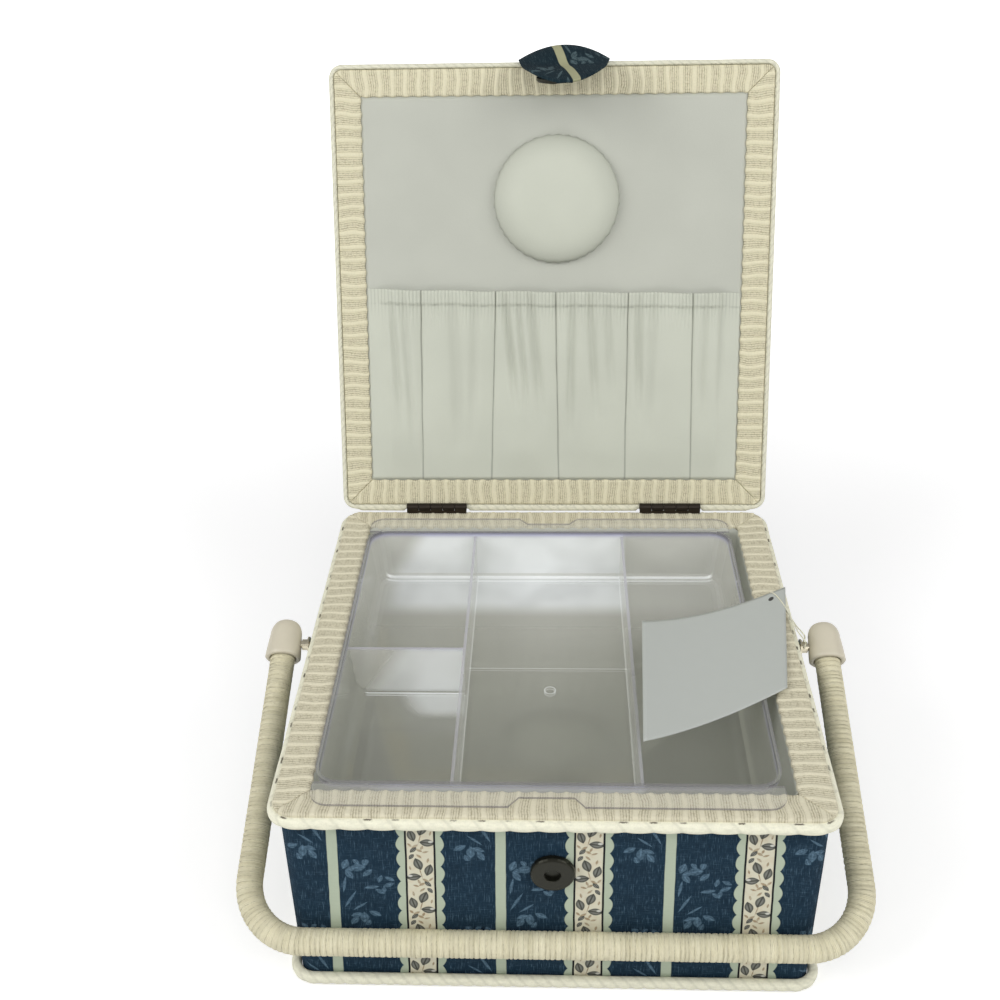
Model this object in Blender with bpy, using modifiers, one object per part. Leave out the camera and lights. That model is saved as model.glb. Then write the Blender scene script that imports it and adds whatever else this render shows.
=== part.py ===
"""Sewing basket: a fabric-covered box with a hinged padded lid, a corded bail handle and a clear tray.

Metres, +Z up, +X to the right, the front faces -Y. The origin is at the centre of the flat base.
At rest the lid stands open, the handle lies down on the front face and the tray sits on the rim.
"""
import math

import bmesh
import bpy
from mathutils import Matrix, Vector

# General
GAP = 0.0003                 # left between pieces that touch
OVERRUN = 0.002              # how far a cutter runs past a surface
WELD = 0.00001               # distance under which points are one point
CLOTH = 0.0008               # outer fabric and satin lining, glued to their boards

# Box
BODY_WIDTH = 0.258           # over the outer fabric
BODY_DEPTH = 0.260
BODY_HEIGHT = 0.118          # floor to the top of the rim bands
BODY_CORNER = 0.008          # radius of the upright corners
WALL_BOARD = 0.012
BASE_BOARD = 0.004
BAND_THICKNESS = 0.0026      # woven band on the rim and round the lid
RIM_BAND_WIDTH = 0.014
RIM_BAND_INSET = 0.0005      # band edge inside the fabric face
BAND_ROUND = 0.0009          # rounding of the bands' long edges
TOP_CORD = 0.0058            # diameter of the braid round the top edge
BASE_CORD = 0.0056           # diameter of the braid round the foot

# Hinges
HINGE_SETBACK = 0.0025       # axis behind the back face
HINGE_RISE = 0.003           # axis above the rim
HINGE_SPREAD = 0.074         # hinge centres from the middle
HINGE_LENGTH = 0.038
HINGE_LEAF = 0.0008
HINGE_LEAF_DEPTH = 0.0134
KNUCKLE_RADIUS = 0.0024
HINGE_PIN_RADIUS = 0.001
KNUCKLES = 5
SCREW_SPREAD = 0.010         # screw centres from the middle of the leaf
SCREW_EDGE = 0.0045          # screw centre from the leaf's free edge
SCREW_RADIUS = 0.0009
SCREW_LENGTH = 0.0032
SCREW_HEAD_RADIUS = 0.0018
SCREW_HEAD = 0.0006

# Lid, measured shut: s runs from the hinge axis to the front, t rises from the inner face
LID_OPEN = math.radians(109.2)
LID_WIDTH = 0.268
LID_LENGTH = 0.2713
LID_BACK_OVERHANG = 0.0015
LID_CORNER = 0.008
LID_PIPING = 0.0046          # diameter
LID_BAND_WIDTH = 0.0143
LID_BOARD = 0.004
LID_COVER_INSET = 0.0005     # cover inside the piping's outer side
LID_EDGE_HEIGHT = 0.0105     # inner face to the top of the cover's straight side
LID_CROWN = 0.010            # rise of the padded top
LID_EDGE_ROUND = 0.003
LID_CROWN_ROUND_SHARE = 0.45 # how fast the crown's outlines turn round towards the middle
LID_CROWN_SHARES = (0.12, 0.25, 0.42, 0.62, 0.82, 0.97)
LID_CROWN_POWER = 2.4
CUSHION_RADIUS = 0.038
CUSHION_HEIGHT = 0.0126
CUSHION_DRAW_IN = 0.0016     # how far the side pulls in at the foot
CUSHION_MARGIN = 0.0221      # its edge to the front band
CUSHION_OFFSET = 0.0005
POCKET_REACH = 0.1194        # height of the pocket cloth
POCKET_CLOTH = 0.0006
POCKET_PUFF = 0.0022
POCKET_RIPPLE = 0.0007
POCKET_SEAM_PITCH = 0.0420
POCKET_SEAM_OFFSET = 0.0015
POCKET_SIDE_FLAT = 0.013     # the cloth lies flatter towards its sewn sides
ELASTIC_WIDTH = 0.0068
ELASTIC_THICKNESS = 0.0009
ELASTIC_TOP_HEM = 0.0006     # cloth above the elastic

# Closure tab and snap
TAB_HALF_WIDTH = 0.0265
TAB_OFFSET = 0.004
TAB_DROP = 0.058             # inner face of the lid down to the tip
TAB_THICKNESS = 0.0016
TAB_BULGE = 0.0092
TAB_PEAK_POWER = 0.7         # below one brings the bulge nearer the root
TAB_DROOP = math.radians(15) # how far it hangs in from the snapped line while the lid is open
TAB_TIP_SHARE = 0.75         # rounded tip's depth over the half width
TAB_TIP_FLAT_SHARE = 0.3
TAB_EDGE_DROP_SHARE = 0.45   # how much less the edges bulge than the middle
TAB_ROW_SHARES = (0, 0.03, 0.07, 0.12, 0.18, 0.25, 0.33, 0.41, 0.50, 0.585, 0.66, 0.74, 0.82, 0.89,
                  0.94, 0.98, 1)
TAB_COLUMN_SHARES = (-1, -0.8, -0.55, -0.28, 0, 0.28, 0.55, 0.8, 1)
SNAP_DROP = 0.0375           # rim top to the middle of the snap
SOCKET_RADIUS = 0.0107
SOCKET_HEIGHT = 0.0035
SOCKET_RECESS_RADIUS = 0.0039
SOCKET_RECESS = 0.0022
SOCKET_STEM_RADIUS = 0.0015
SOCKET_WASHER_RADIUS = 0.009
SOCKET_WASHER = 0.0008
SOCKET_ROUND = 0.0012
CAP_RADIUS = 0.0095
CAP_HEIGHT = 0.0022
CAP_STUD_RADIUS = 0.0033
CAP_STUD = 0.0012
SNAP_GAP = 0.0005            # between the snap's two faces when shut

# Handle
HANDLE_RADIUS = 0.007
HANDLE_WRAP = 0.0012         # thickness of the cord wrapping
HANDLE_FALL = 0.0740         # pivot down to the crossbar's middle where it lies on the front
HANDLE_SPREAD = 0.0035       # how much wider each side is at the crossbar than at the pivot
HANDLE_CORNER = 0.030
PIVOT_Y = 0.004
PIVOT_DROP = 0.008           # below the rim top
END_CAP_RADIUS = 0.0097
END_CAP_MOUTH_RADIUS = 0.0092
END_CAP_TOP = 0.0145         # pivot to the closed end
END_CAP_MOUTH = 0.0125       # pivot to the mouth
STUD_RADIUS = 0.0019
STUD_REACH = 0.0035          # past the arm's centre line
COLLAR_RADIUS = 0.0031
COLLAR_LENGTH = 0.0030
PIVOT_WASHER_RADIUS = 0.0046
PIVOT_WASHER = 0.0008
NUT_RADIUS = 0.0040
NUT_HEIGHT = 0.0026

# Tray
TRAY_WALL = 0.0016
TRAY_DEPTH = 0.0330
TRAY_LIP = 0.0012
TRAY_LIP_REACH = 0.0137      # lip past the tray's front and back walls
TRAY_LIP_CORNER = 0.0085
TRAY_LIP_STEP = 0.0002       # lip top below the wall top
TRAY_SIDE_PLAY = 0.0061      # total play across
TRAY_END_PLAY = 0.0098       # total play front to back
TRAY_FRONT_PLAY = 0.0018
TRAY_CORNER = 0.012
TRAY_DRAFT = 0.003
TRAY_FILLET = 0.008
NOTCH_HALF = 0.018
NOTCH_RAMP = 0.005
NOTCH_DEPTH = 0.006
DIVIDER_SPREAD = 0.0453
DIVIDER_WALL = 0.0016
DIVIDER_DROP = 0.0035        # below the tray's top edge
CROSS_DIVIDER_BACK = -0.0035
FLOOR_THICKNESS_SHARE = 0.5

# How finely curves are divided
CORNER_STEPS = 5
TURN_STEPS = 28
SMALL_TURN_STEPS = 16
CORD_RESOLUTION = 4
BAIL_ARC_STEPS = 7

# Worked out from the sizes above
HALF_W = BODY_WIDTH / 2
HALF_D = BODY_DEPTH / 2
BOARD_HALF_W = HALF_W - CLOTH - GAP
BOARD_HALF_D = HALF_D - CLOTH - GAP
BOARD_CORNER = BODY_CORNER - CLOTH - GAP
INNER_HALF_W = BOARD_HALF_W - WALL_BOARD
INNER_HALF_D = BOARD_HALF_D - WALL_BOARD
LINING_HALF_W = INNER_HALF_W - GAP
LINING_HALF_D = INNER_HALF_D - GAP
CLEAR_HALF_W = LINING_HALF_W - CLOTH
CLEAR_HALF_D = LINING_HALF_D - CLOTH
BASE_BOARD_Z = CLOTH + GAP
WALL_Z = BASE_BOARD_Z + BASE_BOARD + GAP
BAND_Z = BODY_HEIGHT - BAND_THICKNESS
WALL_TOP = BAND_Z - GAP
OPENING_HALF_W = HALF_W - RIM_BAND_INSET - RIM_BAND_WIDTH
OPENING_HALF_D = HALF_D - RIM_BAND_INSET - RIM_BAND_WIDTH
HINGE_Y = HALF_D + HINGE_SETBACK
HINGE_Z = BODY_HEIGHT + HINGE_RISE
LID_FRONT = LID_LENGTH - LID_BACK_OVERHANG
LID_BOARD_T = BAND_THICKNESS + GAP
LID_PAD_T = LID_BOARD_T + LID_BOARD + GAP
CUSHION_REACH = LID_FRONT - LID_PIPING - GAP - LID_BAND_WIDTH - CUSHION_MARGIN - CUSHION_RADIUS
LINING_T = BAND_THICKNESS - CLOTH
SEWN_T = LINING_T - GAP
SNAP_Z = BODY_HEIGHT - SNAP_DROP
SOCKET_Y = -HALF_D - GAP
SOCKET_FACE_Y = SOCKET_Y - SOCKET_HEIGHT
HANDLE_Y = -HALF_D - GAP - HANDLE_RADIUS
PIVOT_Z = BODY_HEIGHT - PIVOT_DROP
HANDLE_REACH = math.hypot(PIVOT_Y - HANDLE_Y, HANDLE_FALL)
HANDLE_REST = math.atan2(HANDLE_FALL, PIVOT_Y - HANDLE_Y)
WASHER_X = HALF_W + GAP + TOP_CORD + GAP
COLLAR_X = WASHER_X + PIVOT_WASHER + GAP
HANDLE_TOP_HALF = COLLAR_X + COLLAR_LENGTH + GAP + END_CAP_RADIUS
HANDLE_FOOT_HALF = HANDLE_TOP_HALF + HANDLE_SPREAD
HANDLE_SPLAY = math.atan((HANDLE_FOOT_HALF - HANDLE_TOP_HALF) / (HANDLE_REACH - HANDLE_CORNER))
ARM_END = STUD_RADIUS + GAP + GAP
TAB_S = LID_FRONT + GAP + TAB_THICKNESS / 2
TAB_T = (LID_PIPING + GAP + LID_EDGE_HEIGHT) / 2
TRAY_HALF_W = OPENING_HALF_W - TRAY_SIDE_PLAY / 2
TRAY_HALF_D = OPENING_HALF_D - TRAY_END_PLAY / 2
TRAY_X = -OPENING_HALF_W + GAP + TRAY_HALF_W
TRAY_Y = -OPENING_HALF_D + TRAY_FRONT_PLAY + TRAY_HALF_D
TRAY_TOP = BODY_HEIGHT + GAP + TRAY_LIP + TRAY_LIP_STEP
TRAY_BOTTOM = TRAY_TOP - TRAY_DEPTH - TRAY_WALL

MATERIALS = {
    "navy_print_fabric": ((0.016, 0.045, 0.085, 1), 0.85, 0.0),
    "cream_woven_band": ((0.66, 0.60, 0.46, 1), 0.75, 0.0),
    "cream_cord": ((0.72, 0.67, 0.50, 1), 0.70, 0.0),
    "satin_lining": ((0.62, 0.62, 0.60, 1), 0.45, 0.0),
    "fibreboard": ((0.30, 0.22, 0.14, 1), 0.90, 0.0),
    "foam": ((0.75, 0.73, 0.62, 1), 0.95, 0.0),
    "bronze_metal": ((0.050, 0.040, 0.030, 1), 0.40, 1.0),
    "nickel_metal": ((0.60, 0.57, 0.50, 1), 0.25, 1.0),
    "cream_plastic": ((0.66, 0.58, 0.48, 1), 0.35, 0.0),
    "clear_plastic": ((0.86, 0.87, 0.92, 1), 0.08, 0.0),
    "cane": ((0.50, 0.37, 0.20, 1), 0.70, 0.0),
}


# Scene, collections and materials
def clear_scene():
    for old in list(bpy.data.objects):
        bpy.data.objects.remove(old, do_unlink=True)


def new_collection(name):
    collection = bpy.data.collections.new(name)
    bpy.context.scene.collection.children.link(collection)
    return collection


def make_material(name):
    colour, roughness, metallic = MATERIALS[name]
    material = bpy.data.materials.new(name)
    material.use_nodes = True
    shader = material.node_tree.nodes["Principled BSDF"]
    shader.inputs["Base Color"].default_value = colour
    shader.inputs["Roughness"].default_value = roughness
    shader.inputs["Metallic"].default_value = metallic
    material.diffuse_color = colour
    return material


def add_part(name, data, material, parent=None, place=(0, 0, 0), turn=(0, 0, 0)):
    """Add a sub-part with its own material, placed in its parent's frame."""
    part = bpy.data.objects.new(name, data)
    parts_collection.objects.link(part)
    part.data.materials.append(material_of[material])
    part.parent = parent
    part.location = place
    part.rotation_euler = turn
    return part


def add_cutter(name, data, parent=None, place=(0, 0, 0), turn=(0, 0, 0)):
    """Add a wire object that only cuts, trims or is fused to others."""
    cutter = bpy.data.objects.new(name, data)
    cutters_collection.objects.link(cutter)
    cutter.parent = parent
    cutter.location = place
    cutter.rotation_euler = turn
    cutter.display_type = "WIRE"
    cutter.hide_render = True
    return cutter


def add_pivot(name, place, turn, parent=None):
    """Add an empty on a joint's axis for its moving pieces."""
    pivot = bpy.data.objects.new(name, None)
    parts_collection.objects.link(pivot)
    pivot.parent = parent
    pivot.location = place
    pivot.rotation_euler = turn
    return pivot


# Mesh and modifier helpers
def finish_mesh(name, bm, smooth_angle=math.radians(40)):
    bm.normal_update()
    closed = all(edge.is_manifold for edge in bm.edges)
    if closed and bm.calc_volume(signed=True) < 0:
        bmesh.ops.reverse_faces(bm, faces=bm.faces)
    mesh = bpy.data.meshes.new(name)
    bm.to_mesh(mesh)
    bm.free()
    mesh.shade_smooth()
    mesh.set_sharp_from_angle(angle=smooth_angle)
    return mesh


def block(low, high):
    """A cube stretched between two corners."""
    bm = bmesh.new()
    bmesh.ops.create_cube(bm, size=1)
    low, high = Vector(low), Vector(high)
    for vert in bm.verts:
        share = vert.co + Vector((1, 1, 1)) / 2
        vert.co = Vector(a + (b - a) * s for a, b, s in zip(low, high, share))
    return bm


def block_mesh(name, low, high):
    return finish_mesh(name, block(low, high))


def upright_edges(bm, keep=lambda x, y: True):
    found = []
    for edge in bm.edges:
        a, b = (vert.co for vert in edge.verts)
        if (a.xy - b.xy).length < WELD and keep(a.x, a.y):
            found.append(edge)
    return found


def round_edges(bm, edges, radius, steps=CORNER_STEPS):
    bmesh.ops.bevel(bm, geom=edges, offset=radius, segments=steps, profile=0.5, affect="EDGES")


def slab(half_x, half_y, radius, low, high):
    """A flat block with rounded upright corners, centred on the axis."""
    bm = block((-half_x, -half_y, low), (half_x, half_y, high))
    round_edges(bm, upright_edges(bm), radius)
    return bm


def move_verts(bm, offset):
    bmesh.ops.translate(bm, verts=bm.verts, vec=Vector(offset))
    return bm


def solidify(part, thickness, offset=-1):
    wall = part.modifiers.new("wall", "SOLIDIFY")
    wall.thickness = thickness
    wall.offset = offset
    wall.use_even_offset = True


def boolean(part, cutter, operation="DIFFERENCE"):
    cut = part.modifiers.new(operation.lower(), "BOOLEAN")
    cut.operation = operation
    cut.solver = "EXACT"
    cut.object = cutter


def turned(name, profile, steps=TURN_STEPS, closed=False):
    """A profile of (radius, height) points, top to bottom down its outer side, for a Screw."""
    bm = bmesh.new()
    verts = [bm.verts.new((radius, 0, height)) for radius, height in profile]
    for first, second in zip(verts, verts[1:]):
        bm.edges.new((first, second))
    if closed:
        bm.edges.new((verts[-1], verts[0]))
    mesh = bpy.data.meshes.new(name)
    bm.to_mesh(mesh)
    bm.free()
    return mesh


def spin(part, steps=TURN_STEPS):
    screw = part.modifiers.new("turn", "SCREW")
    screw.axis = "Z"
    screw.angle = math.tau
    screw.steps = steps
    screw.render_steps = steps
    screw.use_merge_vertices = True
    screw.merge_threshold = WELD
    screw.use_smooth_shade = True


def rod_mesh(name, radius, low, high, steps=SMALL_TURN_STEPS):
    """An upright cylinder between two heights."""
    bm = bmesh.new()
    bmesh.ops.create_cone(
        bm, cap_ends=True, segments=steps, radius1=radius, radius2=radius, depth=high - low
    )
    return finish_mesh(name, move_verts(bm, (0, 0, (low + high) / 2)))


def rounded_rectangle(half_x, half_y, radius, steps=CORNER_STEPS):
    """Points round a rectangle with arcs at its corners, anticlockwise from +X."""
    points = []
    for quarter in range(4):
        sign_x = 1 if quarter in (0, 3) else -1
        sign_y = 1 if quarter in (0, 1) else -1
        for step in range(steps + 1):
            angle = (quarter + step / steps) * math.pi / 2
            points.append((
                sign_x * (half_x - radius) + radius * math.cos(angle),
                sign_y * (half_y - radius) + radius * math.sin(angle),
            ))
    return points


def loft(rings, cap_bottom, cap_top):
    """Outward faces between rings of equal length, from the lowest up, with flat caps where asked."""
    bm = bmesh.new()
    rows = [[bm.verts.new(point) for point in ring] for ring in rings]
    for low, high in zip(rows, rows[1:]):
        count = len(low)
        for i in range(count):
            j = (i + 1) % count
            bm.faces.new((low[i], low[j], high[j], high[i]))
    if cap_bottom:
        bm.faces.new(reversed(rows[0]))
    if cap_top:
        bm.faces.new(rows[-1])
    return bm


def tube_curve(name, points, radius, cyclic, capped, resolution=CORD_RESOLUTION):
    curve = bpy.data.curves.new(name, "CURVE")
    curve.dimensions = "3D"
    curve.bevel_depth = radius
    curve.bevel_resolution = resolution
    curve.use_fill_caps = capped
    spline = curve.splines.new("POLY")
    spline.points.add(len(points) - 1)
    for target, point in zip(spline.points, points):
        target.co = (*point, 1)
    spline.use_cyclic_u = cyclic
    return curve


def curve_mesh(name, curve):
    """The curve's tube as a mesh whose caps are welded on."""
    holder = bpy.data.objects.new(name, curve)
    bpy.context.scene.collection.objects.link(holder)
    bpy.context.view_layer.update()
    evaluated = holder.evaluated_get(bpy.context.evaluated_depsgraph_get())
    mesh = bpy.data.meshes.new_from_object(evaluated)
    mesh.name = name
    mesh.materials.clear()
    bpy.data.objects.remove(holder, do_unlink=True)
    bm = bmesh.new()
    bm.from_mesh(mesh)
    bmesh.ops.remove_doubles(bm, verts=bm.verts, dist=WELD)
    bm.to_mesh(mesh)
    bm.free()
    return mesh


def flat_outline(name, points, thickness):
    """A 2D curve outline filled and thickened about its own plane."""
    curve = bpy.data.curves.new(name, "CURVE")
    curve.dimensions = "2D"
    curve.fill_mode = "BOTH"
    curve.extrude = thickness / 2
    spline = curve.splines.new("POLY")
    spline.points.add(len(points) - 1)
    for target, (x, y) in zip(spline.points, points):
        target.co = (x, y, 0, 1)
    spline.use_cyclic_u = True
    return curve_mesh(name, curve)


# Box
def build_base():
    base_cloth = slab(HALF_W, HALF_D, BODY_CORNER, 0, CLOTH)
    add_part("base_cloth", finish_mesh("base_cloth", base_cloth), "navy_print_fabric")
    board = slab(BOARD_HALF_W, BOARD_HALF_D, BOARD_CORNER, BASE_BOARD_Z, BASE_BOARD_Z + BASE_BOARD)
    add_part("base_board", finish_mesh("base_board", board), "fibreboard")


def build_wall_boards(pivot_drill):
    """Front and back boards run the full width, and the side boards stand between them."""
    boards = {}
    for name, side in (("front_board", -1), ("back_board", 1)):
        low_y, high_y = sorted((side * INNER_HALF_D, side * BOARD_HALF_D))
        bm = block((-BOARD_HALF_W, low_y, WALL_Z), (BOARD_HALF_W, high_y, WALL_TOP))
        outer = upright_edges(bm, keep=lambda x, y: abs(abs(y) - BOARD_HALF_D) < WELD)
        round_edges(bm, outer, BOARD_CORNER)
        boards[name] = add_part(name, finish_mesh(name, bm), "fibreboard")
    for name, side in (("left_board", -1), ("right_board", 1)):
        low_x, high_x = sorted((side * INNER_HALF_W, side * BOARD_HALF_W))
        half_y = INNER_HALF_D - GAP
        mesh = block_mesh(name, (low_x, -half_y, WALL_Z), (high_x, half_y, WALL_TOP))
        boards[name] = add_part(name, mesh, "fibreboard")
        boolean(boards[name], pivot_drill)
    return boards


def build_outer_cover(pivot_drill, snap_drill):
    """One fabric sleeve round the four walls."""
    bm = slab(HALF_W, HALF_D, BODY_CORNER, BASE_BOARD_Z, WALL_TOP)
    ends = [face for face in bm.faces if abs(face.normal.z) > 0.5]
    bmesh.ops.delete(bm, geom=ends, context="FACES_ONLY")
    cover = add_part("outer_fabric_cover", finish_mesh("outer_fabric_cover", bm), "navy_print_fabric")
    solidify(cover, CLOTH)
    boolean(cover, pivot_drill)
    boolean(cover, snap_drill)


def build_lining():
    """An open satin box glued inside the walls and on the base."""
    bm = block((-LINING_HALF_W, -LINING_HALF_D, WALL_Z), (LINING_HALF_W, LINING_HALF_D, WALL_TOP))
    tops = [face for face in bm.faces if face.normal.z > 0.5]
    bmesh.ops.delete(bm, geom=tops, context="FACES_ONLY")
    lining = add_part("satin_lining", finish_mesh("satin_lining", bm), "satin_lining")
    solidify(lining, CLOTH)


def mitred_band(half_length, outer, width, low, high):
    """A strip along X whose ends slope at 45 degrees, its outer edge at y = outer."""
    bm = block((-half_length, outer - width, low), (half_length, outer, high))
    long_tops = [
        edge for edge in bm.edges
        if all(abs(vert.co.z - high) < WELD for vert in edge.verts)
        and abs(edge.verts[0].co.x - edge.verts[1].co.x) > width
    ]
    round_edges(bm, long_tops, BAND_ROUND, steps=2)
    for vert in bm.verts:
        side = 1 if vert.co.x > 0 else -1
        vert.co.x -= side * (outer - vert.co.y)
    return bm


def place_round(bm, quarter):
    """Turn a strip from the +Y side by quarter turns about Z."""
    turn = Matrix.Rotation(quarter * math.pi / 2, 4, "Z")
    bmesh.ops.transform(bm, verts=bm.verts, matrix=turn)
    return bm


def build_rim_bands():
    """Four woven bands with mitred corners on the top of the walls."""
    outer_x, outer_y = HALF_W - RIM_BAND_INSET, HALF_D - RIM_BAND_INSET
    trim = slab(outer_x, outer_y, BODY_CORNER - RIM_BAND_INSET, BAND_Z - OVERRUN, BODY_HEIGHT + OVERRUN)
    footprint = add_cutter("rim_footprint", finish_mesh("rim_footprint", trim))
    sides = (("back", outer_x, outer_y, 0), ("left", outer_y, outer_x, 1),
             ("front", outer_x, outer_y, 2), ("right", outer_y, outer_x, 3))
    bands = {}
    for side, half_length, outer, quarter in sides:
        bm = mitred_band(half_length - GAP, outer, RIM_BAND_WIDTH, BAND_Z, BODY_HEIGHT)
        name = f"rim_band_{side}"
        bands[side] = add_part(name, finish_mesh(name, place_round(bm, quarter)), "cream_woven_band")
        boolean(bands[side], footprint, "INTERSECT")
    return bands


def cord_ring(name, diameter, height, corner, parent=None, half_x=HALF_W, half_y=HALF_D):
    """A closed cord laid round a rounded rectangle."""
    path = [(x, y, height) for x, y in rounded_rectangle(half_x, half_y, corner, steps=6)]
    mesh = curve_mesh(name, tube_curve(name, path, diameter / 2, cyclic=True, capped=False))
    return add_part(name, mesh, "cream_cord", parent)


def build_trim_cords():
    reach = GAP + TOP_CORD / 2
    top_cord = cord_ring("top_braid_cord", TOP_CORD, BODY_HEIGHT - TOP_CORD / 2, BODY_CORNER + reach,
                         half_x=HALF_W + reach, half_y=HALF_D + reach)
    reach = GAP + BASE_CORD / 2
    cord_ring("base_braid_cord", BASE_CORD, GAP + BASE_CORD / 2, BODY_CORNER + reach,
              half_x=HALF_W + reach, half_y=HALF_D + reach)
    return top_cord


# Snap socket on the front
def build_snap_socket(front_board):
    recess = SOCKET_HEIGHT - SOCKET_RECESS
    stem = -(GAP + CLOTH + GAP + SOCKET_WASHER + GAP)
    profile = [
        (0, recess), (SOCKET_RECESS_RADIUS, recess),
        (SOCKET_RECESS_RADIUS, SOCKET_HEIGHT - GAP), (SOCKET_RECESS_RADIUS + GAP, SOCKET_HEIGHT),
        (SOCKET_RADIUS - SOCKET_ROUND, SOCKET_HEIGHT),
        (SOCKET_RADIUS - SOCKET_ROUND / 3, SOCKET_HEIGHT - SOCKET_ROUND / 3),
        (SOCKET_RADIUS, SOCKET_HEIGHT - SOCKET_ROUND),
        (SOCKET_RADIUS, GAP), (SOCKET_RADIUS - GAP, 0),
        (SOCKET_STEM_RADIUS, 0), (SOCKET_STEM_RADIUS, stem), (0, stem),
    ]
    facing_front = (math.pi / 2, 0, 0)
    socket = add_part("snap_socket", turned("snap_socket", profile), "bronze_metal",
                      place=(0, SOCKET_Y, SNAP_Z), turn=facing_front)
    spin(socket)
    bore = SOCKET_STEM_RADIUS + GAP
    ring = [(SOCKET_WASHER_RADIUS, 0), (SOCKET_WASHER_RADIUS, -SOCKET_WASHER),
            (bore, -SOCKET_WASHER), (bore, 0)]
    washer_y = -BOARD_HALF_D + GAP
    washer = add_part("snap_washer", turned("snap_washer", ring, closed=True), "nickel_metal",
                      place=(0, washer_y, SNAP_Z), turn=facing_front)
    spin(washer)
    pocket = rod_mesh("snap_washer_pocket", SOCKET_WASHER_RADIUS + GAP,
                      -(GAP + SOCKET_WASHER + GAP + GAP), OVERRUN, steps=TURN_STEPS)
    boolean(front_board, add_cutter("snap_washer_pocket", pocket, place=(0, -BOARD_HALF_D, SNAP_Z),
                                    turn=facing_front))


# Hinges
def knuckle_spans():
    """Ends of each knuckle along the hinge, with a gap between neighbours."""
    pitch = (HINGE_LENGTH + GAP) / KNUCKLES
    start = -HINGE_LENGTH / 2
    return [(start + i * pitch, start + (i + 1) * pitch - GAP) for i in range(KNUCKLES)]


def barrel_mesh(name, radius, low, high):
    """A cylinder along X."""
    bm = bmesh.new()
    bmesh.ops.create_cone(bm, cap_ends=True, segments=SMALL_TURN_STEPS, radius1=radius,
                          radius2=radius, depth=high - low)
    for vert in bm.verts:
        vert.co = Vector((vert.co.z + (low + high) / 2, vert.co.y, vert.co.x))
    return finish_mesh(name, bm)


def build_hinge_leaf(name, plates, own, hinge_x, parent, place, drill):
    """Plates fused to their own knuckles, cleared round the other leaf's, and bored for the pin."""
    origin = Vector(place) + Vector((hinge_x, 0, 0))
    leaf = add_part(name, block_mesh(name, *plates[0]), "bronze_metal", parent, origin)
    for number, plate in enumerate(plates[1:]):
        boolean(leaf, add_cutter(f"{name}_leg_{number}", block_mesh(name, *plate), parent, origin), "UNION")
    for number, (low, high) in enumerate(knuckle_spans()):
        if number % 2 == own:
            mesh = barrel_mesh(f"{name}_knuckle", KNUCKLE_RADIUS, low, high)
            boolean(leaf, add_cutter(f"{name}_knuckle_{number}", mesh, parent, origin), "UNION")
        else:
            mesh = barrel_mesh(f"{name}_room", KNUCKLE_RADIUS + GAP, low - GAP, high + GAP)
            boolean(leaf, add_cutter(f"{name}_room_{number}", mesh, parent, origin))
    reach = HINGE_LENGTH / 2 + OVERRUN
    bore = barrel_mesh(f"{name}_bore", HINGE_PIN_RADIUS + GAP, -reach, reach)
    boolean(leaf, add_cutter(f"{name}_bore", bore, parent, origin))
    boolean(leaf, drill)
    return leaf


def screw_mesh(name):
    """A pan head screw, its head's underside at height zero and its point downwards."""
    crown = SCREW_HEAD / 3
    return turned(name, [
        (0, SCREW_HEAD), (SCREW_HEAD_RADIUS - crown, SCREW_HEAD), (SCREW_HEAD_RADIUS, SCREW_HEAD - crown),
        (SCREW_HEAD_RADIUS, 0), (SCREW_RADIUS, 0), (SCREW_RADIUS, -SCREW_LENGTH + SCREW_RADIUS),
        (0, -SCREW_LENGTH),
    ])


def build_screws(label, hinge_x, parent, place, turn, board, band):
    """Two screws through a leaf into its board, with room for the heads in the band."""
    for side in (-1, 1):
        spot = Vector(place) + Vector((hinge_x + side * SCREW_SPREAD, 0, 0))
        end = "left" if side < 0 else "right"
        name = f"{label}_screw_{end}"
        spin(add_part(name, screw_mesh(name), "bronze_metal", parent, spot, turn), SMALL_TURN_STEPS)
        hole = rod_mesh(name, SCREW_RADIUS + GAP, -SCREW_LENGTH - GAP, 0)
        boolean(board, add_cutter(f"{name}_hole", hole, parent, spot, turn))
        room = rod_mesh(name, SCREW_HEAD_RADIUS + GAP, -GAP, SCREW_HEAD + GAP)
        boolean(band, add_cutter(f"{name}_head_room", room, parent, spot, turn))


def screw_drill(name, hinge_x, parent, place, turn):
    """One cutter for both screw holes of a leaf: a pair of rods bridged clear above it."""
    bm = bmesh.new()
    for side in (-1, 1):
        made = bmesh.ops.create_cone(bm, cap_ends=True, segments=SMALL_TURN_STEPS,
                                     radius1=SCREW_RADIUS + GAP, radius2=SCREW_RADIUS + GAP,
                                     depth=HINGE_LEAF + OVERRUN + OVERRUN)
        bmesh.ops.translate(bm, verts=made["verts"], vec=(side * SCREW_SPREAD, 0, 0))
    spot = Vector(place) + Vector((hinge_x, 0, 0))
    return add_cutter(name, finish_mesh(name, bm), parent, spot, turn)


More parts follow.
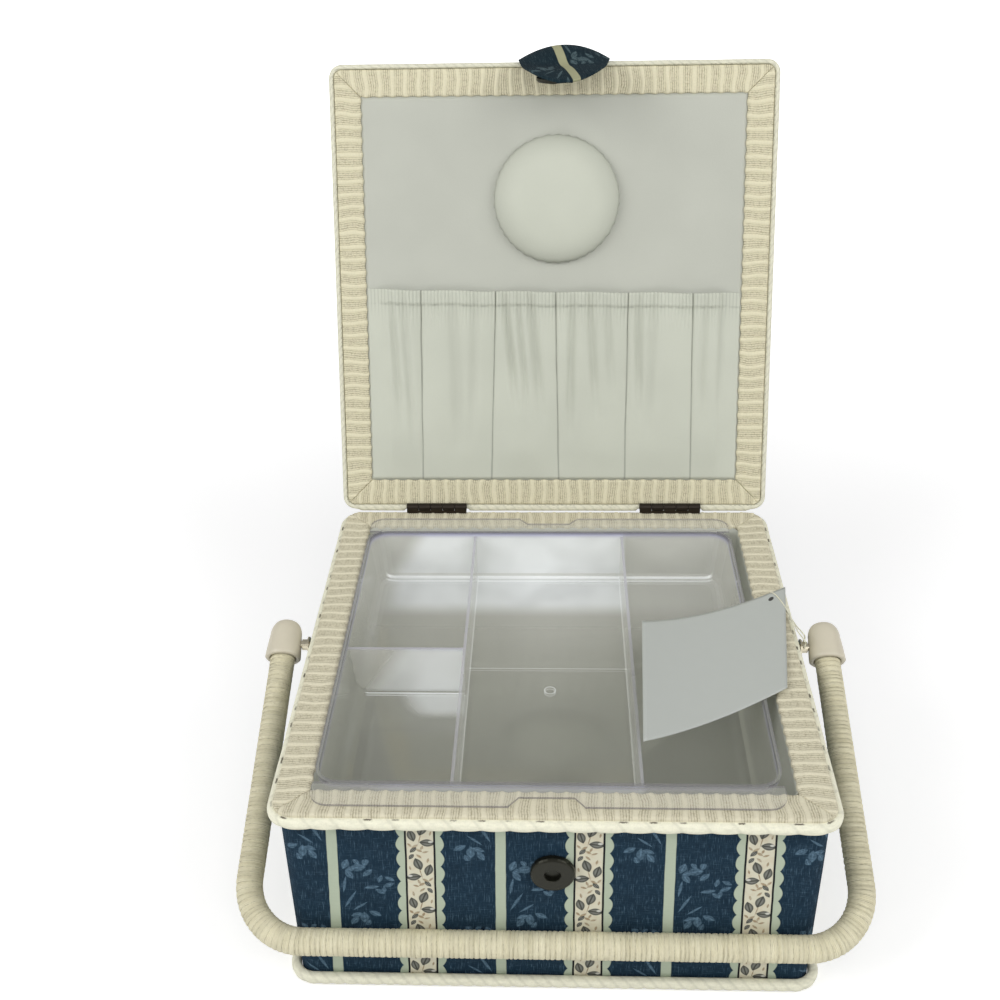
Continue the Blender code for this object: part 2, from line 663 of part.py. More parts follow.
def build_hinges(lid, back_board, back_band, top_cord, lid_board, lid_band, lid_piping):
    """Two butt hinges whose leaves lie under the woven bands."""
    axis = Vector((0, HINGE_Y, HINGE_Z))
    half = HINGE_LENGTH / 2
    leg_y = -KNUCKLE_RADIUS
    plate_z = BAND_Z - HINGE_Z
    leaf_front = leg_y + HINGE_LEAF - HINGE_LEAF_DEPTH
    box_plates = (
        ((-half, leaf_front, plate_z), (half, leg_y + HINGE_LEAF, plate_z + HINGE_LEAF)),
        ((-half, leg_y, plate_z), (half, leg_y + HINGE_LEAF, 0)),
    )
    lid_t = BAND_THICKNESS - HINGE_LEAF
    lid_plates = (((-half, -HINGE_LEAF_DEPTH, lid_t), (half, 0, BAND_THICKNESS)),)
    flipped = (math.pi, 0, 0)
    upright = (0, 0, 0)
    for end, side in (("left", -1), ("right", 1)):
        hinge_x = side * HINGE_SPREAD
        screw_y = leaf_front + SCREW_EDGE
        box_spot = axis + Vector((0, screw_y, plate_z + HINGE_LEAF + GAP))
        drill = screw_drill(f"box_hinge_drill_{end}", hinge_x, None, box_spot, upright)
        build_hinge_leaf(f"hinge_leaf_box_{end}", box_plates, 0, hinge_x, None, axis, drill)
        build_screws(f"box_hinge_{end}", hinge_x, None, box_spot, upright, back_board, back_band)
        lid_spot = Vector((0, -HINGE_LEAF_DEPTH + SCREW_EDGE, lid_t - GAP))
        drill = screw_drill(f"lid_hinge_drill_{end}", hinge_x, lid, lid_spot, flipped)
        build_hinge_leaf(f"hinge_leaf_lid_{end}", lid_plates, 1, hinge_x, lid, (0, 0, 0), drill)
        build_screws(f"lid_hinge_{end}", hinge_x, lid, lid_spot, flipped, lid_board, lid_band)
        pin = barrel_mesh(f"hinge_pin_{end}", HINGE_PIN_RADIUS, -half - GAP, half + GAP)
        add_part(f"hinge_pin_{end}", pin, "nickel_metal", None, axis + Vector((hinge_x, 0, 0)))
        cut_hinge_rooms(end, hinge_x, lid, back_band, top_cord, lid_band, lid_piping, leaf_front)


def cut_hinge_rooms(end, hinge_x, lid, back_band, top_cord, lid_band, lid_piping, leaf_front):
    """Pockets for the leaves in the bands, and notches for the legs and knuckles in the cords."""
    wide = HINGE_LENGTH / 2 + GAP
    low_x, high_x = hinge_x - wide, hinge_x + wide
    pocket = block_mesh("pocket", (low_x, HINGE_Y + leaf_front - GAP, BAND_Z - OVERRUN),
                        (high_x, HALF_D + OVERRUN, BAND_Z + HINGE_LEAF + GAP))
    boolean(back_band, add_cutter(f"rim_pocket_{end}", pocket))
    leg_back = HINGE_Y - KNUCKLE_RADIUS + HINGE_LEAF + GAP
    notch = block_mesh("notch", (low_x, HALF_D - OVERRUN, BODY_HEIGHT - TOP_CORD - OVERRUN),
                       (high_x, leg_back, BODY_HEIGHT + OVERRUN))
    boolean(top_cord, add_cutter(f"cord_notch_{end}", notch))
    leaf_t = BAND_THICKNESS - HINGE_LEAF - GAP
    pocket = block_mesh("pocket", (low_x, -HINGE_LEAF_DEPTH - GAP, leaf_t),
                        (high_x, OVERRUN, BAND_THICKNESS + OVERRUN))
    boolean(lid_band, add_cutter(f"lid_pocket_{end}", pocket, lid))
    notch = block_mesh("notch", (low_x, -LID_PIPING, -OVERRUN),
                       (high_x, KNUCKLE_RADIUS + GAP + GAP, KNUCKLE_RADIUS + GAP + GAP))
    boolean(lid_piping, add_cutter(f"piping_notch_{end}", notch, lid))


# Lid
def lid_block(half_x, back, front, radius, low, high):
    """A rounded slab in the lid's frame, from s = back to s = front."""
    half_y = (front - back) / 2
    return move_verts(slab(half_x, half_y, radius, low, high), (0, -(front + back) / 2, 0))


def lid_panel_limits():
    """Half width and the s limits of the opening inside the lid's bands."""
    inset = LID_PIPING + GAP + LID_BAND_WIDTH
    return LID_WIDTH / 2 - inset, inset - LID_BACK_OVERHANG, LID_FRONT - inset


def build_lid_board(lid):
    edge = LID_PIPING + GAP
    bm = lid_block(LID_WIDTH / 2 - edge, edge - LID_BACK_OVERHANG, LID_FRONT - edge,
                   LID_CORNER - edge, LID_BOARD_T, LID_BOARD_T + LID_BOARD)
    return add_part("lid_board", finish_mesh("lid_board", bm), "fibreboard", lid)


def build_lid_bands(lid):
    """Four woven bands with mitred corners on the lid's inner face."""
    edge = LID_PIPING + GAP
    half_x, half_s = LID_WIDTH / 2 - edge, LID_LENGTH / 2 - edge
    middle = LID_FRONT - LID_LENGTH / 2
    trim = slab(half_x, half_s, LID_CORNER - edge, -OVERRUN, BAND_THICKNESS + OVERRUN)
    footprint = add_cutter("lid_footprint", finish_mesh("lid_footprint", trim), lid, (0, -middle, 0))
    sides = (("back", half_x, half_s, 0), ("left", half_s, half_x, 1),
             ("front", half_x, half_s, 2), ("right", half_s, half_x, 3))
    bands = {}
    for side, half_length, outer, quarter in sides:
        bm = mitred_band(half_length - GAP, outer, LID_BAND_WIDTH, 0, BAND_THICKNESS)
        for vert in bm.verts:
            vert.co.z = BAND_THICKNESS - vert.co.z
        name = f"lid_band_{side}"
        mesh = finish_mesh(name, place_round(bm, quarter))
        bands[side] = add_part(name, mesh, "cream_woven_band", lid, (0, -middle, 0))
        boolean(bands[side], footprint, "INTERSECT")
    return bands


def build_lid_piping(lid):
    radius = LID_PIPING / 2
    middle = LID_FRONT - LID_LENGTH / 2
    path = [
        (x, y - middle, radius)
        for x, y in rounded_rectangle(LID_WIDTH / 2 - radius, LID_LENGTH / 2 - radius, LID_CORNER - radius)
    ]
    mesh = curve_mesh("lid_piping", tube_curve("lid_piping", path, radius, cyclic=True, capped=False))
    return add_part("lid_piping", mesh, "cream_cord", lid)


def crowned_rings(inset, drop, low):
    """Rounded outlines that rise from the lid's edge over a rounded shoulder to the padded crown."""
    half_x = LID_WIDTH / 2 - LID_COVER_INSET - inset
    half_y = LID_LENGTH / 2 - LID_COVER_INSET - inset
    middle = LID_FRONT - LID_LENGTH / 2
    top = LID_EDGE_HEIGHT - drop
    levels = [(0, low)]
    shoulder_steps = 3
    for step in range(shoulder_steps + 1):
        angle = step / shoulder_steps * math.pi / 2
        levels.append((LID_EDGE_ROUND * (1 - math.cos(angle)), top + LID_EDGE_ROUND * (math.sin(angle) - 1)))
    for share in LID_CROWN_SHARES:
        reach = LID_EDGE_ROUND + share * (min(half_x, half_y) - LID_EDGE_ROUND)
        levels.append((reach, top + LID_CROWN * (1 - (1 - share) ** LID_CROWN_POWER)))
    rings = []
    for reach, height in levels:
        ring_x, ring_y = half_x - reach, half_y - reach
        radius = min(LID_CORNER - inset + reach * LID_CROWN_ROUND_SHARE, ring_x - WELD, ring_y - WELD)
        rings.append([(x, y - middle, height) for x, y in rounded_rectangle(ring_x, ring_y, radius)])
    return rings


def build_lid_top(lid):
    """The foam pad and the fabric cover over it."""
    inset = CLOTH + GAP
    pad = loft(crowned_rings(inset, inset, LID_PAD_T), cap_bottom=True, cap_top=True)
    add_part("lid_padding", finish_mesh("lid_padding", pad), "foam", lid)
    skin = loft(crowned_rings(0, 0, LID_PIPING + GAP), cap_bottom=False, cap_top=True)
    cover = add_part("lid_fabric_cover", finish_mesh("lid_fabric_cover", skin), "navy_print_fabric", lid)
    solidify(cover, CLOTH)


def build_lid_lining(lid):
    half_x, back, front = lid_panel_limits()
    bm = block((-half_x + GAP, -front + GAP, LINING_T), (half_x - GAP, -back - GAP, BAND_THICKNESS))
    add_part("lid_lining", finish_mesh("lid_lining", bm), "satin_lining", lid)


def build_pincushion(lid):
    """A round stuffed cushion with a full crown and a drawn-in foot."""
    levels = 8
    profile = [(0, 0), (CUSHION_RADIUS - CUSHION_DRAW_IN, 0)]
    for step in range(1, levels + 1):
        angle = step / levels * math.pi / 2
        radius = CUSHION_RADIUS * math.cos(angle) ** 0.62 if step < levels else 0
        swell = CUSHION_RADIUS if step == 1 else radius
        profile.append((swell, -CUSHION_HEIGHT * math.sin(angle) ** 0.9))
    cushion = add_part("pincushion", turned("pincushion", profile), "satin_lining", lid,
                       (CUSHION_OFFSET, -CUSHION_REACH, SEWN_T))
    spin(cushion)


def pocket_puff(share_x, share_s, seam_shares):
    """How far the cloth stands off: zero at the seams, full between them, growing to the top."""
    for low, high in zip(seam_shares, seam_shares[1:]):
        if low <= share_x <= high:
            across = (share_x - low) / (high - low)
            swell = math.sin(math.pi * across) ** 0.8 if 0 < across < 1 else 0
            fold = math.sin(3 * math.pi * across) ** 2 * swell
            rise = min(1, share_s / 0.22)
            return (POCKET_PUFF * swell * (0.45 + 0.55 * share_s) - POCKET_RIPPLE * fold) * rise
    return 0


def pocket_seams():
    half_x, _, _ = lid_panel_limits()
    inner = half_x - GAP
    seams = [i * POCKET_SEAM_PITCH + POCKET_SEAM_OFFSET for i in (-2, -1, 0, 1, 2)]
    return inner, [0] + [(seam + inner) / (2 * inner) for seam in seams] + [1]


def pocket_sheet(low_s, high_s, rows, lift):
    """A grid over the pocket panel, standing off the lining by its puff and a lift."""
    inner, seam_shares = pocket_seams()
    _, back, _ = lid_panel_limits()
    columns = 54
    bm = bmesh.new()
    grid = []
    for row in range(rows + 1):
        s = low_s + (high_s - low_s) * row / rows
        share_s = (s - back) / POCKET_REACH
        line = []
        for column in range(columns + 1):
            share_x = column / columns
            x = -inner + 2 * inner * share_x
            edge = min(1, (inner - abs(x)) / POCKET_SIDE_FLAT) ** 2
            puff = pocket_puff(share_x, share_s, seam_shares) * edge
            line.append(bm.verts.new((x, -s, SEWN_T - lift - puff)))
        grid.append(line)
    for low, high in zip(grid, grid[1:]):
        for i in range(columns):
            bm.faces.new((low[i], high[i], high[i + 1], low[i + 1]))
    return bm


def build_pockets(lid):
    """A gathered pocket cloth, sewn down at five seams, with an elastic casing along its top."""
    _, back, _ = lid_panel_limits()
    top = back + GAP + POCKET_REACH
    cloth = pocket_sheet(back + GAP, top, 9, POCKET_CLOTH / 2)
    pocket = add_part("pocket_cloth", finish_mesh("pocket_cloth", cloth), "satin_lining", lid)
    solidify(pocket, POCKET_CLOTH, offset=0)
    casing_lift = POCKET_CLOTH + GAP + ELASTIC_THICKNESS / 2
    high = top - ELASTIC_TOP_HEM
    casing = pocket_sheet(high - ELASTIC_WIDTH, high, 1, casing_lift)
    elastic = add_part("pocket_elastic", finish_mesh("pocket_elastic", casing), "satin_lining", lid)
    solidify(elastic, ELASTIC_THICKNESS, offset=0)


# Closure tab
def tab_sheet(name, first, last, seat, settled_at, parent, place):
    """The tab's cloth between two drops below its root, placed so that the parent's axis stays put."""
    length = TAB_T + TAB_DROP
    round_from = length - TAB_HALF_WIDTH * TAB_TIP_SHARE
    drops = [first] + [row * length for row in TAB_ROW_SHARES if first < row * length < last] + [last]
    bm = bmesh.new()
    grid = []
    for drop in drops:
        past = max(0, (drop - round_from) / (length - round_from))
        half = TAB_HALF_WIDTH * max(math.sqrt(max(0, 1 - past * past)), TAB_TIP_FLAT_SHARE)
        along = min(1, drop / settled_at)
        swell = math.sin(math.pi * along ** TAB_PEAK_POWER) * (1 - along ** 3)
        settle = along * along * (3 - 2 * along)
        line = []
        for column in TAB_COLUMN_SHARES:
            out = TAB_BULGE * swell * (1 - TAB_EDGE_DROP_SHARE * column * column) + seat * settle
            line.append(bm.verts.new(Vector((TAB_OFFSET + column * half, -out, -drop)) - place))
        grid.append(line)
    for low, high in zip(grid, grid[1:]):
        for i in range(len(low) - 1):
            bm.faces.new((low[i], high[i], high[i + 1], low[i + 1]))
    cloth = add_part(name, finish_mesh(name, bm), "navy_print_fabric", parent)
    solidify(cloth, TAB_THICKNESS, offset=0)


def build_tab(lid):
    """A bent fabric tab in two lengths: the root hangs from the lid, and the end folds out."""
    snap_s = HINGE_Y - SOCKET_FACE_Y + SNAP_GAP
    seat = snap_s + CAP_HEIGHT + GAP + TAB_THICKNESS / 2 - TAB_S
    snap_drop = TAB_T + HINGE_Z - SNAP_Z
    fold = snap_drop - CAP_RADIUS - GAP
    root = add_pivot("tab_droop", (0, -TAB_S, TAB_T), (TAB_DROOP, 0, 0), lid)
    tab_sheet("closure_tab_root", 0, fold - GAP / 2, seat, fold, root, Vector((0, 0, 0)))
    fold_place = Vector((0, -(seat + TAB_THICKNESS / 2), -fold))
    end = add_pivot("tab_flex", fold_place, (0, 0, 0), root)
    tab_sheet("closure_tab_end", fold + GAP / 2, TAB_T + TAB_DROP, seat, fold, end, fold_place)
    build_snap_cap(end, seat, snap_drop, fold_place)


def build_snap_cap(end, seat, snap_drop, fold_place):
    edge = CAP_HEIGHT / 3
    profile = [
        (0, CAP_HEIGHT + CAP_STUD), (CAP_STUD_RADIUS - CAP_STUD / 2, CAP_HEIGHT + CAP_STUD),
        (CAP_STUD_RADIUS, CAP_HEIGHT + CAP_STUD / 2), (CAP_STUD_RADIUS, CAP_HEIGHT),
        (CAP_RADIUS - edge, CAP_HEIGHT), (CAP_RADIUS, CAP_HEIGHT - edge), (CAP_RADIUS, 0), (0, 0),
    ]
    back = -(seat - TAB_THICKNESS / 2 - GAP)
    cap = add_part("snap_cap", turned("snap_cap", profile), "bronze_metal", end,
                   Vector((0, back, -snap_drop)) - fold_place, (-math.pi / 2, 0, 0))
    spin(cap)


# Handle
def bail_points(start):
    """The bail's centre line from one arm's end round both corners to the other's."""
    foot, corner = HANDLE_FOOT_HALF, HANDLE_CORNER
    half = [(HANDLE_TOP_HALF + start * math.tan(HANDLE_SPLAY), start)]
    for step in range(BAIL_ARC_STEPS + 1):
        angle = step / BAIL_ARC_STEPS * math.pi / 2
        half.append((foot - corner + corner * math.cos(angle),
                     HANDLE_REACH - corner + corner * math.sin(angle)))
    right = [(x, -reach, 0) for x, reach in half]
    left = [(-x, y, z) for x, y, z in reversed(right)]
    return right + left


def build_handle(handle):
    """A cane core in a sleeve of wound cord."""
    route = bail_points(ARM_END + GAP)
    core = tube_curve("handle_core", route, HANDLE_RADIUS - HANDLE_WRAP - GAP, False, True)
    add_part("handle_core", curve_mesh("handle_core", core), "cane", handle)
    wound = tube_curve("handle_cord_wrap", route, HANDLE_RADIUS, False, False)
    wrap = add_part("handle_cord_wrap", curve_mesh("handle_cord_wrap", wound), "cream_cord", handle)
    solidify(wrap, HANDLE_WRAP)


def build_end_caps(handle):
    """Moulded caps on the arm ends, each bored for its arm and cross-drilled for its stud."""
    bore = HANDLE_RADIUS + GAP
    dome_steps = 4
    profile = [(0, ARM_END), (bore, ARM_END), (bore, END_CAP_MOUTH),
               (END_CAP_MOUTH_RADIUS, END_CAP_MOUTH), (END_CAP_RADIUS, 0)]
    dome = END_CAP_RADIUS * 0.55
    for step in range(dome_steps + 1):
        angle = step / dome_steps * math.pi / 2
        radius = END_CAP_RADIUS * (0.45 + 0.55 * math.cos(angle)) if step < dome_steps else 0
        profile.append((radius, -END_CAP_TOP + dome * (1 - math.sin(angle))))
    for name, side in (("left", -1), ("right", 1)):
        cap = add_part(f"end_cap_{name}", turned(f"end_cap_{name}", profile), "cream_plastic", handle,
                       (side * HANDLE_TOP_HALF, 0, 0), (math.pi / 2, 0, side * HANDLE_SPLAY))
        spin(cap)
        low = HANDLE_TOP_HALF - END_CAP_RADIUS - OVERRUN
        high = HANDLE_TOP_HALF + STUD_REACH + GAP
        drill = rod_mesh(f"end_cap_drill_{name}", STUD_RADIUS + GAP, low, high)
        turn = (0, side * math.pi / 2, 0)
        boolean(cap, add_cutter(f"end_cap_drill_{name}", drill, handle, (0, 0, 0), turn))


def build_pivots(boards):
    """Studs through the side walls, with a washer outside and a nut sunk under the lining."""
    collar_out = COLLAR_X + COLLAR_LENGTH
    nut_in = INNER_HALF_W + GAP
    nut_out = nut_in + NUT_HEIGHT
    tip = INNER_HALF_W
    end = HANDLE_TOP_HALF + STUD_REACH
    stud = [(0, end), (STUD_RADIUS - GAP, end), (STUD_RADIUS, end - GAP), (STUD_RADIUS, collar_out),
            (COLLAR_RADIUS, collar_out), (COLLAR_RADIUS, COLLAR_X), (STUD_RADIUS, COLLAR_X),
            (STUD_RADIUS, tip + GAP), (STUD_RADIUS - GAP, tip), (0, tip)]
    bore = STUD_RADIUS + GAP
    washer = [(PIVOT_WASHER_RADIUS, WASHER_X + PIVOT_WASHER), (PIVOT_WASHER_RADIUS, WASHER_X),
              (bore, WASHER_X), (bore, WASHER_X + PIVOT_WASHER)]
    nut_sides = 6
    nut_bore = bore / math.cos(math.pi / nut_sides)
    nut = [(NUT_RADIUS, nut_out), (NUT_RADIUS, nut_in), (nut_bore, nut_in), (nut_bore, nut_out)]
    for name, side in (("left", -1), ("right", 1)):
        place, turn = (0, PIVOT_Y, PIVOT_Z), (0, side * math.pi / 2, 0)
        spin(add_part(f"pivot_stud_{name}", turned("stud", stud), "nickel_metal", None, place, turn),
             SMALL_TURN_STEPS)
        spin(add_part(f"pivot_washer_{name}", turned("washer", washer, closed=True), "nickel_metal",
                      None, place, turn), SMALL_TURN_STEPS)
        spin(add_part(f"pivot_nut_{name}", turned("nut", nut, closed=True), "nickel_metal",
                      None, place, turn), nut_sides)
        pocket = rod_mesh("nut_pocket", NUT_RADIUS + GAP, INNER_HALF_W - OVERRUN, nut_out + GAP)
        boolean(boards[f"{name}_board"], add_cutter(f"nut_pocket_{name}", pocket, None, place, turn))


# Tray
def tray_rings(inset):
    """Outlines round the bottom fillet and up the drafted wall."""
    levels = [(0, TRAY_TOP)]
    fillet_steps = 4
    knee = TRAY_BOTTOM + TRAY_FILLET
    for step in range(fillet_steps + 1):
        angle = step / fillet_steps * math.pi / 2
        levels.append((TRAY_DRAFT + TRAY_FILLET * (1 - math.cos(angle)), knee - TRAY_FILLET * math.sin(angle)))
    rings = []
    for reach, height in levels:
        points = rounded_rectangle(TRAY_HALF_W - inset - reach, TRAY_HALF_D - inset - reach,
                                   TRAY_CORNER - inset - reach / 2)
        rings.append([(x + TRAY_X, y + TRAY_Y, height) for x, y in points])
    return rings[::-1]


def lip_outline(side):
    """A lip with rounded outer corners and a finger notch in the middle of its edge."""
    half = TRAY_HALF_W - TRAY_LIP_STEP
    inner = TRAY_HALF_D - TRAY_WALL * 0.6
    outer = TRAY_HALF_D + TRAY_LIP_REACH
    corner = TRAY_LIP_CORNER
    right = [(half, inner), (half, outer - corner)]
    for step in range(1, CORNER_STEPS + 1):
        angle = step / CORNER_STEPS * math.pi / 2
        right.append((half - corner + corner * math.cos(angle), outer - corner + corner * math.sin(angle)))
    right += [(NOTCH_HALF, outer), (NOTCH_HALF - NOTCH_RAMP, outer - NOTCH_DEPTH)]
    left = [(-x, y) for x, y in reversed(right)]
    return [(x, side * y) for x, y in right + left]


def build_tray():
    """One clear moulding: a drafted shell with lips front and back and dividers inside."""
    shell = loft(tray_rings(0), cap_bottom=True, cap_top=False)
    tray = add_part("clear_tray", finish_mesh("clear_tray", shell), "clear_plastic")
    solidify(tray, TRAY_WALL)
    lip_z = TRAY_TOP - TRAY_LIP_STEP - TRAY_LIP / 2
    for name, side in (("front", -1), ("back", 1)):
        lip = add_cutter(f"tray_lip_{name}", flat_outline(f"tray_lip_{name}", lip_outline(side), TRAY_LIP),
                         place=(TRAY_X, TRAY_Y, lip_z))
        boolean(tray, lip, "UNION")
    core_mesh = finish_mesh("tray_core", loft(tray_rings(TRAY_WALL * FLOOR_THICKNESS_SHARE), True, True))
    core = add_cutter("tray_core", core_mesh)
    half = DIVIDER_WALL / 2
    top = TRAY_TOP - DIVIDER_DROP
    floor = TRAY_BOTTOM + TRAY_WALL * FLOOR_THICKNESS_SHARE
    spans = {
        "left": ((TRAY_X - DIVIDER_SPREAD - half, TRAY_Y - TRAY_HALF_D - OVERRUN),
                 (TRAY_X - DIVIDER_SPREAD + half, TRAY_Y + TRAY_HALF_D + OVERRUN)),
        "right": ((TRAY_X + DIVIDER_SPREAD - half, TRAY_Y - TRAY_HALF_D - OVERRUN),
                  (TRAY_X + DIVIDER_SPREAD + half, TRAY_Y + TRAY_HALF_D + OVERRUN)),
        "cross": ((TRAY_X - TRAY_HALF_W - OVERRUN, TRAY_Y + CROSS_DIVIDER_BACK - half),
                  (TRAY_X - DIVIDER_SPREAD, TRAY_Y + CROSS_DIVIDER_BACK + half)),
    }
    for name, (low, high) in spans.items():
        mesh = block_mesh(f"tray_divider_{name}", (*low, floor), (*high, top))
        divider = add_cutter(f"tray_divider_{name}", mesh)
        boolean(divider, core, "INTERSECT")
        boolean(tray, divider, "UNION")


def build_basket():
    reach = HALF_W + OVERRUN
    pivot_drill = add_cutter("pivot_drill", barrel_mesh("pivot_drill", STUD_RADIUS + GAP, -reach, reach),
                             place=(0, PIVOT_Y, PIVOT_Z))
    snap_hole = rod_mesh("snap_drill", SOCKET_STEM_RADIUS + GAP, -CLOTH - OVERRUN, OVERRUN)
    snap_drill = add_cutter("snap_drill", snap_hole, place=(0, -HALF_D, SNAP_Z), turn=(math.pi / 2, 0, 0))
    build_base()
    boards = build_wall_boards(pivot_drill)
    build_outer_cover(pivot_drill, snap_drill)
    build_lining()
    rim_bands = build_rim_bands()
    top_cord = build_trim_cords()
    build_snap_socket(boards["front_board"])
    lid = add_pivot("lid_hinge", (0, HINGE_Y, HINGE_Z), (-LID_OPEN, 0, 0))
    lid_board = build_lid_board(lid)
    lid_bands = build_lid_bands(lid)
    lid_piping = build_lid_piping(lid)
    build_lid_top(lid)
    build_lid_lining(lid)
    build_pincushion(lid)
    build_pockets(lid)
    build_tab(lid)
    build_hinges(lid, boards["back_board"], rim_bands["back"], top_cord,
                 lid_board, lid_bands["back"], lid_piping)
    handle = add_pivot("handle_swing", (0, PIVOT_Y, PIVOT_Z), (HANDLE_REST, 0, 0))
    build_handle(handle)
    build_end_caps(handle)
    build_pivots(boards)
    build_tray()


clear_scene()
parts_collection = new_collection("sewing_basket")
cutters_collection = new_collection("cutters")
material_of = {name: make_material(name) for name in MATERIALS}
build_basket()
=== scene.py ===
"""The looks of a sewing basket: its cloth, bands, cords, handle, tray and card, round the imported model."""

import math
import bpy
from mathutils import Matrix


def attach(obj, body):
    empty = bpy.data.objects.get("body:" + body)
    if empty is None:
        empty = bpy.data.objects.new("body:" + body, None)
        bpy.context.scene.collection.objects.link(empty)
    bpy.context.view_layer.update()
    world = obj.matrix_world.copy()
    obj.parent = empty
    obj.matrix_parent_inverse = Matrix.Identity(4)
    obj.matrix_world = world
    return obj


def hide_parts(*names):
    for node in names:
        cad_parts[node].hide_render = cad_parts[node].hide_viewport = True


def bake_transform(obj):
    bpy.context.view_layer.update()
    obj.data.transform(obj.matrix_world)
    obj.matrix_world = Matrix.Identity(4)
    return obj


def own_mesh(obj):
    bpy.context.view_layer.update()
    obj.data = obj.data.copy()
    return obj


bl_info = {
    "name": "Sewing Basket",
    "version": (1, 0, 0),
    "blender": (4, 5, 0),
    "location": "3D View > Sidebar > Basket",
    "description": "Makes the cloth, bands, cords, handle and stage of a sewing basket",
    "category": "Add Mesh",
}

import bpy
import numpy as np
from mathutils import Matrix

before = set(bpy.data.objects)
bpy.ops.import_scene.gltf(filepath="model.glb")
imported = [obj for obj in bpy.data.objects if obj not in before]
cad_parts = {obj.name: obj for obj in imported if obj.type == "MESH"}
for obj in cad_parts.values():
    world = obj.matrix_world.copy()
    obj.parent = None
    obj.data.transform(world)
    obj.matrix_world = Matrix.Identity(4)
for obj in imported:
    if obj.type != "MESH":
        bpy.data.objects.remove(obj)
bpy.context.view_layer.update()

MM = 1000

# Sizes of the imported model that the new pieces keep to, in metres
GAP, CLOTH, BAND = 0.0003, 0.0008, 0.0026
HALF_W, HALF_D, HEIGHT, BOX_CORNER = 0.129, 0.130, 0.118, 0.008
RIM_WIDTH, RIM_LAP, RIM_BAND_LOW = 0.017, 0.0025, 0.108
BRAID_THICK, BRAID_TALL, TOP_BRAID_Z, BASE_BRAID_Z = 0.0026, 0.0031, 0.1128, 0.0035
COVER_LOW, COVER_TOP = 0.0011, 0.1151
LINING_HALF_W, LINING_HALF_D, LINING_LOW = 0.1156, 0.1166, 0.0054
LINING_FOOT, LINING_CORNER = 0.005, 0.004
AXIS_Y, AXIS_Z, LID_OPEN = 0.1325, 0.121, math.radians(109.2)
LID_W, LID_L, LID_FRONT, LID_CORNER = 0.268, 0.2713, 0.2698, 0.008
PIPING, PIPING_THIN, PIPING_DROP, LID_BAND_WIDTH = 0.0046, 0.0030, 0.0013, 0.0159
LID_EDGE, LID_CROWN, COVER_INSET, EDGE_ROUND = 0.0105, 0.010, 0.0005, 0.003
PANEL_HALF, PANEL_BACK, PANEL_FRONT, PANEL_TUCK = 0.1145, 0.0180, 0.2503, 0.0008
SEWN_T, HINGE_X, HINGE_HALF = 0.0015, 0.074, 0.0200
CUSHION_X, CUSHION_S = 0.0022, 0.1905
TAB_HALF, TAB_SHIFT, TAB_LONG, TAB_THICK = 0.0265, 0.0065, 0.0657, 0.0016
TAB_BULGE, TAB_SEAT, TAB_FOLD, TAB_DROOP = 0.0092, 0.0019, 0.0384, math.radians(15)
TAB_S, TAB_T = 0.2709, 0.0077
PIVOT_Y, PIVOT_Z = 0.004, 0.110
BAIL_TOP, BAIL_FOOT, BAIL_REACH, BAIL_CORNER, BAIL_RADIUS = 0.1495, 0.1530, 0.1595, 0.030, 0.007
BAIL_START, BAIL_REST = 0.0028, math.radians(27.64)
BAIL_SPLAY = (BAIL_FOOT - BAIL_TOP) / (BAIL_REACH - BAIL_CORNER)
END_CAP_TOP, END_CAP_MOUTH, END_CAP_NECK, END_CAP_WIDE = 0.0138, 0.0086, 0.0087, 0.0098

# The card's right and left corners, top and foot, the height where it lies on the tray, and the way of the
# loop from the stud through its hole and back, in metres
CARD_RIGHT = np.array([[0.1334, 0.0469], [0.1206, -0.0424]])
CARD_LEFT = np.array([[0.0476, -0.0077], [0.0430, -0.0970]])
CARD_Z, LOOP_RADIUS = 0.1200, 0.0004
CARD_LOOP = ((0.1372, 0.0008, 0.1118), (0.1376, 0.0000, 0.1158), (0.1366, -0.0010, 0.1186),
             (0.1335, 0.0080, 0.1194), (0.1312, 0.0240, 0.1199), (0.1278, 0.0360, 0.1204),
             (0.1253, 0.0404, 0.1206), (0.1246, 0.0418, 0.1199), (0.1266, 0.0404, 0.1193),
             (0.1305, 0.0270, 0.1190), (0.1338, 0.0130, 0.1188), (0.1368, 0.0060, 0.1182),
             (0.1382, 0.0062, 0.1150), (0.1376, 0.0066, 0.1120))

# Places on flat cloth, the card and the tray, in millimetres, as the finishes read them
STRIPE_PITCH, STRIPE_PLACE, STRIP_PLACE = 79.4, -24.3, 17.3
PRINT_SHIFT, PRINT_SPREAD_SHARE = 0.6, 0.046
TAB_PRINT_TURN, TAB_PRINT_REACH = math.radians(13), 25
# Painted shade on the tab: its print keeps these shares of red, green and blue
TAB_PAINTED_SHADE = (0.80, 0.70, 0.55)
CARD_LONG, CARD_WIDE, CARD_HOLE_U, CARD_HOLE_V = 90.0, 88.0, 9.5, 6.0
TRAY_X, TRAY_CROSS, TRAY_CREASE, TRAY_MOULD = -2.75, -6.6, 100.8, 13.0
DIVIDER_SPREAD, DIVIDER_TOP = 45.3, 116.2
GATE_X, GATE_Y, GATE_RADIUS = -1.5, -6.0, 3.0
POCKET_FOOT, POCKET_TALL, POCKET_HEM_SHARE = 18.2, 120.0, 0.925
WIDE_CORD, FINE_CORD = 1.35, 1.275

